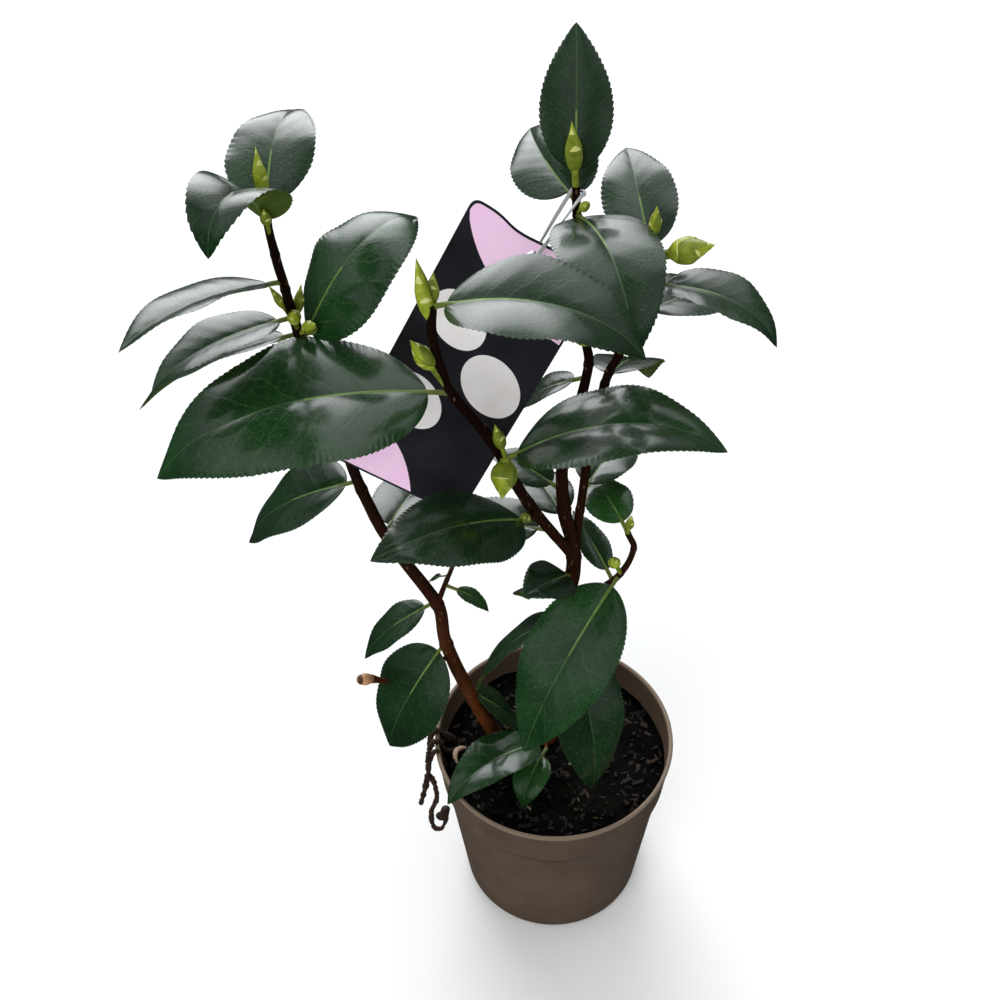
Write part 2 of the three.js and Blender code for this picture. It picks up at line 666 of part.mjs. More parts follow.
function ovalShape({ across, down, long, short }) {
  const shape = new THREE.Shape();
  shape.absellipse(across * CARD.width, down, long, short, 0, 2 * Math.PI, false, OVAL_TILT);
  return shape;
}

function wireGeometry() {
  const stem = pathPoint(LIMBS.trunk.path, WIRE_AT);
  const [across, down] = CARD.holeCentre;
  const hole = cardPoint(across, down, CARD.thickness / 2);
  const front = cardPoint(across, down - 3, -4);
  const back = cardPoint(across, down - 3, 4);
  const away = stem.clone().sub(hole).setZ(0).normalize();
  const side = new THREE.Vector3(0, 0, 1).cross(away);
  const aroundStem = [-90, -45, 0, 45, 90].map((angle) => stem.clone()
    .addScaledVector(away, WIRE_LOOP * Math.cos(THREE.MathUtils.degToRad(angle)))
    .addScaledVector(side, WIRE_LOOP * Math.sin(THREE.MathUtils.degToRad(angle))));
  const curve = new THREE.CatmullRomCurve3([...aroundStem, back, hole, front], true, 'centripetal');
  const steps = 32;
  const frames = curve.computeFrenetFrames(steps, true);
  const rings = Array.from({ length: steps }, (_, i) => {
    const centre = curve.getPointAt(i / steps);
    return circleRing(centre, frames.normals[i], frames.binormals[i], WIRE_RADIUS, 5);
  });
  return loft(rings, true);
}

// Assembly

const COLOURS = {
  pot: [0x74665b, 0.62, 0],
  soil: [0x1d1815, 0.95, 0],
  bark: [0x4a2b20, 0.7, 0],
  leaf: [0x17301c, 0.25, 0],
  cardDark: [0x16161c, 0.35, 0],
  cardPink: [0xdcb4dc, 0.4, 0],
  cardPale: [0xf0e6e8, 0.4, 0],
  wire: [0xb8babb, 0.3, 1],
};

function material(name) {
  const [color, roughness, metalness] = COLOURS[name];
  return new THREE.MeshStandardMaterial({ color, roughness, metalness });
}

const camellia = new THREE.Group();

function addPart(name, geometry, colour) {
  const mesh = new THREE.Mesh(geometry, material(colour));
  mesh.name = name;
  camellia.add(mesh);
}

function addPot() {
  addPart('pot', potGeometry(), 'pot');
  addPart('soil', soilGeometry(), 'soil');
}

function addLimbs() {
  for (const [name, limb] of Object.entries(LIMBS)) {
    const rodGeometry = limbRod(limb, 0, limb.leafy);
    if (limb.foot) {
      addPart(name, levelFoot(rodGeometry, SOIL_TOP + GAP), 'bark');
    } else {
      const clear = toSolid(rodGeometry).subtract(limbClearance(LIMBS[limb.from[0]]));
      addPart(name, toGeometry(clear), 'bark');
    }
  }
}

function addFoliage() {
  for (const limb of Object.values(LIMBS)) {
    addPart(limb.crown, toGeometry(crownSolid(limb, CROWNS[limb.crown])), 'leaf');
  }
  for (const [name, shoot] of Object.entries(SIDE_SHOOTS)) {
    addPart(name, toGeometry(shootSolid(shoot)), 'leaf');
  }
  for (const [name, shoot] of Object.entries(BACK_SHOOTS)) {
    addPart(name, toGeometry(shootSolid(grown(LIMBS[shoot.on], shoot))), 'leaf');
  }
  SINGLE_LEAVES.forEach((leaf, i) => {
    const shoot = { on: leaf.on, at: leaf.at, leaves: [{ ...leaf, at: 0 }] };
    addPart(`side_leaf_${i + 1}`, toGeometry(shootSolid(shoot)), 'leaf');
  });
}

function addCard() {
  const sheet = cardOutline(0);
  sheet.holes.push(holePath());
  addPart('card', cardSheet(sheet, CARD.thickness, 0), 'cardDark');
  const level = -GAP - INLAY_THICKNESS;
  addPart('card_upper_band', cardSheet(upperBandShape(), INLAY_THICKNESS, level), 'cardPink');
  addPart('card_lower_band', cardSheet(lowerBandShape(), INLAY_THICKNESS, level), 'cardPink');
  OVALS.forEach((oval, i) => {
    addPart(`card_oval_${i + 1}`, cardSheet(ovalShape(oval), INLAY_THICKNESS, level), 'cardPale');
  });
  addPart('card_wire', wireGeometry(), 'wire');
}

placeLimbs();
addPot();
addLimbs();
addFoliage();
addCard();

export default camellia;
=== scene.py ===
"""A young potted camellia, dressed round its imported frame: bark, leaves, buds, pot, compost and card.

Lengths are millimetres, turned into metres as a mesh is made, and angles are degrees. The plant's
front faces -Y. Shoots, leaves and buds follow the same rule as the frame's solids, in finer detail.
"""
import math

import bmesh
import bpy
import numpy as np
from mathutils import Matrix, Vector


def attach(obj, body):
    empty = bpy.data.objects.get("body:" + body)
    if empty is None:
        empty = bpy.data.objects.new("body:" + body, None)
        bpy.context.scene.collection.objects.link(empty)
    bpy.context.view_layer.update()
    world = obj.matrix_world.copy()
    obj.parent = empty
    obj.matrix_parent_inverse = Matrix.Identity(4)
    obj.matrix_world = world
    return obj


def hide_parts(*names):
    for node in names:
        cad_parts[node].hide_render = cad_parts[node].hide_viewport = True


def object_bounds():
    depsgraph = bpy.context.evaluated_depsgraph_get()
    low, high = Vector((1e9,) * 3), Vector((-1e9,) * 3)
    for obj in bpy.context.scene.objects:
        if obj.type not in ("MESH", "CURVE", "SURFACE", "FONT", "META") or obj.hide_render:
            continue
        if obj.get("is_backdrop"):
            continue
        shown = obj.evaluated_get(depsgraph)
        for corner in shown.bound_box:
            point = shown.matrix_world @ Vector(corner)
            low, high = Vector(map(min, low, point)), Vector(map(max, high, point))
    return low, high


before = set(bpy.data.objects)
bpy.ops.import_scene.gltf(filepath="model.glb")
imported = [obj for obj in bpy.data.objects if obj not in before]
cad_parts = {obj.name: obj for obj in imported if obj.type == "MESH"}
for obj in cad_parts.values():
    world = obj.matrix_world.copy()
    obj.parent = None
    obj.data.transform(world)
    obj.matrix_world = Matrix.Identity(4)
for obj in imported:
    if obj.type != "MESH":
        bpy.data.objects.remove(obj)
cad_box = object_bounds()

MM = 0.001
SEED = 20

# Driving sizes, as in the frame
POT = dict(height=118, rim=65, lip=2.4, wall=1.3, collar=26, collar_radius=62.4, step=1.9,
           base=51.5, base_corner=3, floor=2.2)
SOIL_TOP = 103
SOIL_GAP = 0.35
CARD = dict(width=60, length=124, thickness=0.8, corner=4, hole=3.2)
CARD_PLACE = dict(corner=(-33, 26, 431), azimuth=208, pitch=-55, roll=-59)
HOLE_CENTRE = (32, 10)
PRINT_MARGIN = 1
UPPER_BAND = dict(side=36, middle=31)  # its lower edge, down from the card's top
LOWER_BAND = dict(side=98, middle=102)  # its upper edge
OVALS = [dict(across=0.3, down=46, long=14, short=10), dict(across=0.72, down=65, long=15, short=11),
         dict(across=0.3, down=85, long=14, short=10)]
OVAL_TILT = 0.5  # radians
WIRE_AT = 10.7  # internodes up the trunk's shoot
WIRE_LOOP = 3.2  # radius of the wire's loop round the leader
WIRE_TURN = dict(above=3, off=4)  # where it turns: above the hole and off the card's faces
STRAND = dict(radius=0.42, apart=1.0, twists=3)

# The view from the front and above, a little rolled
CAMERA = dict(at=(-26, -389, 663), pitch=43.4, roll=-1.5, lens=43.2, sensor=36)


def leaf(at, azimuth, pitch, length, width, roll=0, droop=30, side=0, petiole=6, fold=14, tone=0):
    """A leaf: at counts internodes up its shoot, azimuth and pitch are its petiole's heading."""
    return dict(locals())


def bud(at, azimuth, pitch, reach, length, radius):
    """A bud: reach is from its shoot to its tip."""
    return dict(locals())


# A shoot is a list of internodes (length, azimuth, pitch). Above `leafy` it is a crown's stem.
LIMBS = {
    "left_stem": dict(
        foot=(-30, 7), radii=(3.9, 2.2, 1.5), leafy=6, crown="left_crown",
        internodes=[(42, -172, 72), (52, -166, 76), (33, -144, 84), (46, -180, 66), (35, 170, 72),
                    (64, -152, 80), (28, -150, 78), (23, -114, 80), (18, -100, 76), (16, -90, 76)]),
    "trunk": dict(
        foot=(-4, 10), radii=(4.6, 2.0, 1.6), leafy=7, crown="leader_crown",
        internodes=[(52, -32, 86), (59, -18, 84), (40, -38, 84), (26, 126, 72), (25, 100, 80),
                    (29, 30, 76), (23, 28, 78), (17, 140, 80), (28, 126, 82), (23, 118, 82),
                    (12, 120, 84)]),
    "front_bough": dict(
        fork=("trunk", 3), radii=(2.6, 2.1, 1.7), leafy=3, crown="front_crown",
        internodes=[(51, -156, 62), (48, -148, 68), (35, -146, 62), (19, -132, 70), (19, -116, 76),
                    (15, -74, 78)]),
    "right_bough": dict(
        fork=("trunk", 3), radii=(2.2, 1.8, 1.4), leafy=4, crown="right_crown",
        internodes=[(24, 72, 68), (36, 26, 84), (38, -18, 82), (17, -24, 72), (19, -44, 72),
                    (18, -20, 72), (17, -8, 88)]),
}

CROWNS = {
    "left_crown": [
        leaf(10, 90, 40, 53, 34, roll=-10, droop=55, side=-5),
        leaf(9.7, -104, 74, 56, 31, roll=-8, droop=135, side=5, fold=25),
        leaf(8.2, -145, 14, 62, 34, roll=18, droop=32, fold=20),
        leaf(7.35, -150, 6, 55, 29, roll=5, droop=35, fold=20),
        leaf(7, -176, -10, 68, 28, roll=15, fold=20),
        leaf(6.8, -5, 64, 74, 46, roll=37, droop=92, side=31, fold=0, tone=1),
        leaf(6.5, 37, 57, 65, 33, roll=-24, droop=40, side=4, fold=-8),
        bud(10, 98, 76, 26, 17, 2.4),
        bud(9.5, -84, 64, 18, 9, 1.9),
        bud(7.2, -171, 68, 20, 12, 1.6),
        bud(7.2, 55, 67, 16, 12, 1.9),
        bud(7.1, -82, 54, 18, 8, 2.5),
        bud(7, -43, 40, 15, 9, 2.6),
    ],
    "front_crown": [
        leaf(3.1, -163, 18, 117, 63, roll=-12, droop=64, fold=10, petiole=10, tone=1),
        leaf(5.9, -22, 24, 79, 41, roll=10, droop=70, fold=18),
        bud(5.1, -130, 81, 33, 27, 2.9),
        bud(5.8, 80, 60, 13, 11, 2.3),
        bud(3.2, -138, 62, 36, 19, 3.2),
    ],
    "leader_crown": [
        leaf(10, -76, 20, 77, 41, droop=84),
        leaf(11, 88, 60, 55, 29, droop=15),
        leaf(10.4, 118, 12, 52, 31, roll=-35, side=-10),
        leaf(10.2, 84, 42, 32, 16, droop=20),
        bud(11, 156, 85, 26, 20, 3.2),
        bud(10.05, -66, 44, 14, 9, 1.8),
        bud(8.1, -92, 10, 15, 12, 5),
    ],
    "right_crown": [
        leaf(6.8, 98, 32, 56, 30, roll=-10, droop=36),
        leaf(6.2, -26, 12, 53, 28, droop=65, fold=20),
        leaf(5.3, 36, 0, 56, 34, droop=40),
        bud(6.9, -31, 27, 27, 19, 4.7),
        bud(7, 80, 74, 18, 11, 2.2),
    ],
}

# Twigs of the crowns and shoots on the limbs' backs, both grown by the seeded rule: azimuth and
# pitch are the heading, count the leaves, blade the shortest and longest leaf
TWIGS = {
    "leader_crown": [dict(at=7.75, azimuth=135, pitch=5, count=4, blade=(28, 40), seed=54),
                     dict(at=9.5, azimuth=15, pitch=5, count=3, blade=(28, 40), seed=179)],
    "right_crown": [dict(at=5, azimuth=150, pitch=65, count=2, blade=(36, 52), seed=366)],
}
BACK_SHOOTS = {
    "back_shoot_1": dict(on="left_stem", at=3.75, azimuth=30, pitch=35, count=3, blade=(28, 40), seed=91),
    "back_shoot_2": dict(on="left_stem", at=5.25, azimuth=105, pitch=5, count=4, blade=(36, 52), seed=206),
    "back_shoot_3": dict(on="trunk", at=5.5, azimuth=45, pitch=5, count=1, blade=(36, 52), seed=152),
    "back_shoot_4": dict(on="right_bough", at=1.75, azimuth=60, pitch=20, count=2, blade=(28, 40), seed=4),
}

# The seeded rule: pairs are the least and the most drawn, but radii are a shoot's at root and tip
RULE = dict(internode=(10, 16), stray=(-25, 25), rise=(-10, 10), first_turn=(-60, 60),
            turn=(117.5, 157.5), leaf_pitch=(0, 35), width_ratio=(0.5, 0.58), roll=(-15, 15),
            droop=(25, 60), radii=(1.4, 1.0))
CROWN_SPACE = ((-166, -69, 108), (79, 81, 478))
LIMB_REACH = 9  # how near a limb's middle a seeded leaf's blade may come

# Shoots on the limbs' sides: `on` and `at` say where they start
SIDE_SHOOTS = {
    "right_shoot": dict(
        on="trunk", at=2.2, radii=(1.8, 1.4),
        internodes=[(16, -6, 24), (17, -12, 52), (17, 2, 72), (13, -150, 72)],
        growths=[leaf(1.9, -134, -34, 98, 48, roll=-5, droop=35, fold=10, tone=1),
                 leaf(1.6, 116, 26, 36, 16, droop=15),
                 leaf(4, 116, 28, 37, 24, roll=-5, droop=60, fold=5, tone=2),
                 bud(2, -129, 63, 20, 9, 2.6),
                 bud(4, -2, 85, 12, 9, 1.8)]),
    "left_twig": dict(
        on="left_stem", at=3, radii=(1.4, 1.0), internodes=[(18, -2, 72), (16, 20, 68)],
        growths=[leaf(1.9, 156, -12, 15, 8, droop=15, tone=2),
                 leaf(1.2, 150, -34, 10, 6, droop=20, tone=2),
                 leaf(0.8, -18, -12, 20, 10, droop=40, tone=2)]),
    "foot_shoot": dict(
        on="trunk", at=0.25, radii=(1.5, 1.1), internodes=[(12, -96, 4), (6, -88, -8)],
        growths=[leaf(1.2, -148, 26, 64, 31, roll=5, droop=65, fold=20, tone=1),
                 leaf(2, -118, 10, 32, 20, roll=5, droop=60, tone=2)]),
    "bough_leaf_low": dict(
        on="front_bough", at=0.9, radii=(1.6, 1.3), internodes=[(10, -100, 12)],
        growths=[leaf(0.95, -138, 36, 85, 41, roll=-17, droop=32, side=5, fold=5),
                 bud(0.9, -120, 48, 10, 7, 2)]),
    "bough_leaf_right": dict(
        on="front_bough", at=1.75, radii=(1.6, 1.3), internodes=[(5, -60, 20)],
        growths=[leaf(1, -12, 40, 92, 49, droop=65, tone=1),
                 bud(0.9, -100, -50, 17, 16, 5.2),
                 bud(0.9, -140, 76, 22, 15, 2.4)]),
    "bough_leaf_back": dict(
        on="front_bough", at=0.5,
        growths=[leaf(0, 158, -6, 60, 32, roll=-10, droop=40)]),
}

# Single leaves straight on a limb, in the frame's order: side_leaf_1 and on
SINGLE_LEAVES = [
    ("left_stem", leaf(1.2, 14, -50, 52, 26, droop=20)),
    ("left_stem", leaf(2.05, -150, -48, 74, 45, roll=-15, droop=35, fold=10)),
    ("left_stem", leaf(3.05, -172, -28, 47, 24, droop=35)),
    ("left_stem", leaf(4.2, 70, 0, 62, 34, droop=50)),
    ("left_stem", leaf(5.1, 166, -24, 79, 42, roll=-10, droop=40)),
    ("trunk", leaf(1.7, -64, -40, 88, 44, roll=-10, droop=45)),
    ("trunk", leaf(1.9, 178, -33, 64, 37, roll=22, droop=38)),
    ("trunk", leaf(2.35, 118, -32, 56, 34, droop=40)),
    ("trunk", leaf(2.65, -124, 36, 40, 25, roll=-20, droop=20)),
    ("trunk", leaf(3.7, 112, 10, 48, 26, droop=60)),
    ("trunk", leaf(4.4, 148, 24, 34, 22)),
    ("trunk", leaf(6.7, 160, -24, 42, 22, droop=40)),
    ("right_bough", leaf(3.1, 64, -10, 55, 31, roll=-10, droop=55)),
    ("right_bough", leaf(1.3, 60, 10, 50, 28, droop=60)),
]


# Materials

def colour(hexadecimal):
    """A linear colour with alpha from an sRGB code."""
    values = [int(hexadecimal[i:i + 2], 16) / 255 for i in (0, 2, 4)]
    linear = [v / 12.92 if v <= 0.04045 else ((v + 0.055) / 1.055) ** 2.4 for v in values]
    return (*linear, 1)


def principled(name, base, roughness, **sockets):
    """A material with constant values on its shader's sockets. Returns it, its tree and its shader."""
    made = bpy.data.materials.new(name)
    made.use_nodes = True
    shader = made.node_tree.nodes["Principled BSDF"]
    shader.inputs["Base Color"].default_value = colour(base)
    shader.inputs["Roughness"].default_value = roughness
    for key, value in sockets.items():
        shader.inputs[key.replace("_", " ")].default_value = value
    return made, made.node_tree, shader


def add(tree, kind, inputs=(), **settings):
    """A node, with its inputs set or linked by name or number."""
    made = tree.nodes.new("ShaderNode" + kind)
    for key, value in settings.items():
        setattr(made, key, value)
    for key, value in dict(inputs).items():
        if isinstance(value, bpy.types.NodeSocket):
            tree.links.new(value, made.inputs[key])
        else:
            made.inputs[key].default_value = value
    return made


def math_node(tree, operation, *values):
    return add(tree, "Math", dict(enumerate(values)), operation=operation).outputs[0]


def place(tree, scale=(1, 1, 1), kind="Object"):
    """Object or UV coordinates, stretched by scale on each axis."""
    source = add(tree, "TexCoord").outputs[kind]
    return add(tree, "Mapping", {"Vector": source, "Scale": scale}).outputs[0]


def noise(tree, where, scale, detail=4, roughness=0.55):
    values = {"Vector": where, "Scale": scale, "Detail": detail, "Roughness": roughness}
    return add(tree, "TexNoise", values).outputs["Fac"]


def ranged(tree, value, low, high, to_low=0.0, to_high=1.0):
    values = {0: value, 1: low, 2: high, 3: to_low, 4: to_high}
    return add(tree, "MapRange", values).outputs[0]


def mixed(tree, factor, first, second):
    """The two colours mixed; each is an sRGB code or a socket."""
    made = add(tree, "Mix", {0: factor}, data_type="RGBA")
    for number, value in ((6, first), (7, second)):
        if isinstance(value, str):
            made.inputs[number].default_value = colour(value)
        else:
            tree.links.new(value, made.inputs[number])
    return made.outputs[2]


def bump(tree, shader, height, distance, strength=1.0):
    values = {"Height": height, "Distance": distance * MM, "Strength": strength}
    made = add(tree, "Bump", values)
    tree.links.new(made.outputs[0], shader.inputs["Normal"])


VEINS = 8  # side veins on each half of a blade
VEIN_RISE = 0.2  # how far along the blade a vein gets on its way to the edge
VEIN_BEND = 0.35


def vein_phase(along, across):
    """Whole numbers fall on the side veins. Works on numbers and arrays."""
    return VEINS * (along - VEIN_RISE * across * (1 + VEIN_BEND - VEIN_BEND * across))


def vein_line(tree):
    """1 on the side veins, fading to 0 beside them, from the blade's own coordinates."""
    uv = add(tree, "TexCoord").outputs["UV"]
    parts = add(tree, "SeparateXYZ", {0: uv})
    across = math_node(tree, "ABSOLUTE", parts.outputs[1])
    inner = math_node(tree, "MULTIPLY_ADD", across, -VEIN_BEND, 1 + VEIN_BEND)
    rise = math_node(tree, "MULTIPLY", math_node(tree, "MULTIPLY", across, inner), VEINS * VEIN_RISE)
    bent = math_node(tree, "MULTIPLY_ADD", noise(tree, place(tree, (7, 2.5, 1), "UV"), 1.0), 0.7, rise)
    phase = math_node(tree, "SUBTRACT", math_node(tree, "MULTIPLY", parts.outputs[0], VEINS), bent)
    distance = math_node(tree, "PINGPONG", phase, 0.5)
    line = ranged(tree, distance, 0.0, 0.045, 1.0, 0.0)
    fade = ranged(tree, across, 0.55, 0.95, 1.0, 0.0)
    return math_node(tree, "MULTIPLY", line, fade)


def network(tree):
    """1 on the fine net between the veins."""
    cells = add(tree, "TexVoronoi", {"Vector": place(tree, (34, 9, 1), "UV"), "Scale": 1.0},
                feature="DISTANCE_TO_EDGE")
    return ranged(tree, cells.outputs["Distance"], 0.0, 0.09, 1.0, 0.0)


def leaf_top(name, dark, light, vein):
    """Glossy green in patches, with sunk veins, a faint net between them and pale specks, partly dust and
    partly painted glints.
    """
    made, tree, shader = principled(name, dark, 0.3, Coat_Weight=0.8, Coat_Roughness=0.18,
                                    Specular_IOR_Level=0.15)
    where = place(tree)
    patches = ranged(tree, noise(tree, where, 38), 0.35, 0.7)
    veins = vein_line(tree)
    net = network(tree)
    base = mixed(tree, patches, dark, light)
    lined = mixed(tree, math_node(tree, "MULTIPLY", net, 0.16), base, vein)
    drawn = mixed(tree, math_node(tree, "MULTIPLY", veins, 0.28), lined, vein)
    # pale specks: partly dust, partly painted glints
    specks = ranged(tree, noise(tree, where, 1700, 2), 0.62, 0.7, 0.0, 0.32)
    dust = math_node(tree, "MULTIPLY", specks, patches)
    tree.links.new(mixed(tree, dust, drawn, "a9b5a6"), shader.inputs["Base Color"])
    fine = noise(tree, where, 420, 3)
    tree.links.new(ranged(tree, fine, 0.3, 0.75, 0.26, 0.36), shader.inputs["Roughness"])
    sunk = math_node(tree, "MULTIPLY_ADD", net, -0.5, math_node(tree, "MULTIPLY", veins, -0.8))
    height = math_node(tree, "MULTIPLY_ADD", fine, 0.25, sunk)
    bump(tree, shader, height, 0.1, 0.85)
    return made


def leaf_under():
    made, tree, shader = principled("leaf_underside", "4a5c1e", 0.5, Specular_IOR_Level=0.4)
    veins = vein_line(tree)
    patches = noise(tree, place(tree), 60)
    base = mixed(tree, patches, "33450f", "556a25")
    drawn = mixed(tree, math_node(tree, "MULTIPLY", veins, 0.5), base, "8b9a4e")
    tree.links.new(drawn, shader.inputs["Base Color"])
    bump(tree, shader, math_node(tree, "ADD", veins, patches), 0.15)
    return made


def mottled(name, dark, light, scale, roughness=0.45, relief=0.1, stretch=(1, 1, 1), **sockets):
    """A plain two-tone surface with a little relief."""
    made, tree, shader = principled(name, dark, roughness, **sockets)
    where = place(tree, stretch)
    grain = noise(tree, where, scale)
    tree.links.new(mixed(tree, ranged(tree, grain, 0.3, 0.7), dark, light), shader.inputs["Base Color"])
    bump(tree, shader, grain, relief)
    return made


def bark():
    """Orange-brown at the foot, dark maroon above, with fine long streaks and pale pores."""
    made, tree, shader = principled("bark", "5a2c20", 0.6, Specular_IOR_Level=0.05)
    where = add(tree, "TexCoord").outputs["Object"]
    level = add(tree, "SeparateXYZ", {0: where}).outputs[2]
    streaks = noise(tree, place(tree, (1, 1, 0.12)), 1500, 5)
    wobble = math_node(tree, "MULTIPLY_ADD", streaks, 0.06, level)
    lower = mixed(tree, ranged(tree, wobble, 0.14, 0.27), "643619", "2c150b")
    upper = mixed(tree, ranged(tree, wobble, 0.27, 0.38), lower, "180a06")
    shaded = mixed(tree, ranged(tree, streaks, 0.45, 0.75, 0.0, 0.45), upper, "1d0b09")
    pores = add(tree, "TexVoronoi", {"Vector": place(tree, (1, 1, 0.45)), "Scale": 330.0})
    spots = ranged(tree, pores.outputs["Distance"], 0.1, 0.2, 0.22, 0.0)
    tree.links.new(mixed(tree, spots, shaded, "a98361"), shader.inputs["Base Color"])
    bump(tree, shader, math_node(tree, "MULTIPLY_ADD", spots, 0.6, streaks), 0.22)
    return made


def pot_plastic():
    made, tree, shader = principled("pot_plastic", "7a695d", 0.55, Specular_IOR_Level=0.45)
    where = place(tree)
    level = add(tree, "SeparateXYZ", {0: where}).outputs[2]
    clouds = noise(tree, where, 30, 6, 0.65)
    specks = ranged(tree, noise(tree, where, 420, 3), 0.68, 0.76, 0.0, 0.55)
    base = mixed(tree, ranged(tree, clouds, 0.3, 0.7), "4f4034", "5d4e41")
    # painted highlight: the lip at the top of the rim is lightened
    worn = mixed(tree, ranged(tree, level, 0.1155, 0.1172, 0.0, 0.6), base, "8a7865")
    # painted shadow: a dark soft line just under the collar's step
    under_step = math_node(tree, "ABSOLUTE", math_node(tree, "SUBTRACT", level, 0.0893))
    grimy = mixed(tree, ranged(tree, under_step, 0.0, 0.0028, 0.6, 0.0), worn, "2c231c")
    tree.links.new(mixed(tree, specks, grimy, "40352c"), shader.inputs["Base Color"])
    fine = noise(tree, where, 1600, 5)
    tree.links.new(ranged(tree, fine, 0.3, 0.7, 0.48, 0.66), shader.inputs["Roughness"])
    bump(tree, shader, fine, 0.09)
    return made


def compost():
    made, tree, shader = principled("compost", "0c0806", 0.95, Specular_IOR_Level=0.1)
    where = place(tree)
    grain = noise(tree, where, 380, 8, 0.7)
    moss = ranged(tree, noise(tree, where, 34, 3), 0.56, 0.68, 0.0, 0.5)
    base = mixed(tree, ranged(tree, grain, 0.4, 0.75), "020101", "0b0705")
    tree.links.new(mixed(tree, moss, base, "0e1406"), shader.inputs["Base Color"])
    bump(tree, shader, grain, 1.4)
    return made


TOPS = [
    leaf_top("leaf_dark", "08230c", "103114", "3b5735"),
    leaf_top("leaf_green", "0b2b0f", "153d18", "456839"),
    leaf_top("leaf_young", "113513", "1f4e1c", "587a43"),
]
MIDRIB = mottled("leaf_midrib", "4f6e30", "6a8744", 220, 0.4, 0.05)
MIDRIB_FAINT = mottled("leaf_midrib_faint", "27441f", "3a5a2c", 220, 0.36, 0.05)
LEAF_MATERIALS = [*TOPS, MIDRIB, MIDRIB_FAINT, leaf_under(),
                  mottled("petiole", "4a5a1e", "6b7a30", 260, 0.42, 0.06)]
LEAF_SLOTS = {name: len(TOPS) + i for i, name in enumerate(("midrib", "faint", "under", "petiole"))}
BUD_GREEN = mottled("bud_scale", "76891a", "a6b134", 300, 0.34, 0.08)
# painted shade: a darker copy of the scale green, used on every other scale and on the bud's stalk
BUD_DEEP = mottled("bud_scale_shaded", "566812", "808d26", 300, 0.36, 0.08)
BUD_PALE = mottled("bud_scale_edge", "b9bd5e", "d3d389", 300, 0.4, 0.05)
BARK = bark()
POT_PLASTIC = pot_plastic()
COMPOST = compost()


# Pieces

def link(name, data):
    """A new object in the scene."""
    made = bpy.data.objects.new(name, data)
    bpy.context.scene.collection.objects.link(made)
    return made


def settle(name, mesh, slot, nodes):
    """The mesh as a piece on the root body. It stands for the nodes."""
    made = link(name, mesh)
    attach(made, "root")
    if nodes:
        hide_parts(*nodes)


class Piece:
    """Collects grids of points, then makes one mesh object of them."""

    def __init__(self, name, *materials):
        self.name = name
        self.materials = materials
        self.vertices, self.faces, self.slots, self.uvs = [], [], [], []
        self.count = 0

    def grid(self, points, slots=0, uv=None, ends=True):
        """Quads over rows of points. Each row is a closed ring, and ends cap the first and last."""
        rows, columns = points.shape[:2]
        start = self.count
        self.vertices.append(points.reshape(-1, 3))
        self.uvs.append(np.zeros((rows * columns, 2)) if uv is None else uv.reshape(-1, 2))
        self.count += rows * columns
        r, c = np.meshgrid(np.arange(rows - 1), np.arange(columns), indexing="ij")
        after = (c + 1) % columns
        quads = np.stack([r * columns + c, r * columns + after,
                          (r + 1) * columns + after, (r + 1) * columns + c], -1) + start
        self.faces += quads.reshape(-1, 4).tolist()
        self.slots += np.broadcast_to(slots, r.shape).reshape(-1).tolist()
        if ends:
            first = list(range(start, start + columns))
            last = list(range(start + (rows - 1) * columns, start + rows * columns))
            self.faces += [first[::-1], last]
            cap = int(np.broadcast_to(slots, r.shape)[0, 0])
            self.slots += [cap, cap]

    def solid(self, vertices, faces, slot=0):
        """Faces over a list of points, numbered from 0."""
        points = np.array(vertices, float)
        self.faces += [[self.count + i for i in face] for face in faces]
        self.slots += [slot] * len(faces)
        self.vertices.append(points)
        self.uvs.append(np.zeros((len(points), 2)))
        self.count += len(points)

    def make(self, slot, *nodes, crease=50):
        """The mesh, in metres, with edges sharper than the crease left sharp."""
        mesh = bpy.data.meshes.new(self.name)
        mesh.from_pydata((np.concatenate(self.vertices) * MM).tolist(), [], self.faces)
        for material in self.materials:
            mesh.materials.append(material)
        mesh.polygons.foreach_set("material_index", self.slots)
        uv = np.concatenate(self.uvs)
        corners = np.empty(len(mesh.loops), int)
        mesh.loops.foreach_get("vertex_index", corners)
        mesh.uv_layers.new(name="blade").data.foreach_set("uv", uv[corners].astype(np.float32).ravel())
        work = bmesh.new()
        work.from_mesh(mesh)
        bmesh.ops.recalc_face_normals(work, faces=work.faces)
        work.to_mesh(mesh)
        work.free()
        mesh.shade_smooth()
        mesh.set_sharp_from_angle(angle=math.radians(crease))
        settle(self.name, mesh, slot, nodes)


# Headings, paths and tubes

def unit(vector):
    return vector / np.linalg.norm(vector)


def heading(azimuth, pitch):
    a, p = math.radians(azimuth), math.radians(pitch)
    return np.array([math.cos(p) * math.cos(a), math.cos(p) * math.sin(a), math.sin(p)])


def turned(vector, axis, degrees):
    """The vector turned about a unit axis at right angles to it or along it."""
    angle = math.radians(degrees)
    return (vector * math.cos(angle) + np.cross(axis, vector) * math.sin(angle)
            + axis * (axis @ vector) * (1 - math.cos(angle)))


def shoot_points(start, internodes):
    points = [np.array(start, float)]
    for length, azimuth, pitch in internodes:
        points.append(points[-1] + length * heading(azimuth, pitch))
    return np.array(points)


def along_path(points, at):
    """Point on the smooth curve through points; at counts the spans between them."""
    i = min(max(int(at), 0), len(points) - 2)
    u = at - i
    p1, p2 = points[i], points[i + 1]
    p0 = points[i - 1] if i > 0 else 2 * p1 - p2
    p3 = points[i + 2] if i + 2 < len(points) else 2 * p2 - p1
    return 0.5 * (2 * p1 + (p2 - p0) * u + (2 * p0 - 5 * p1 + 4 * p2 - p3) * u * u
                  + (3 * p1 - p0 - 3 * p2 + p3) * u ** 3)


def points_along(points, stations):
    return np.array([along_path(points, at) for at in stations])


def evenly(spans, steps):
    """Stations over a number of spans, with so many steps to each."""
    return np.linspace(0, spans, spans * steps + 1)


def circle(count):
    """Angles all round, evenly spaced."""
    return np.arange(count) * 2 * math.pi / count


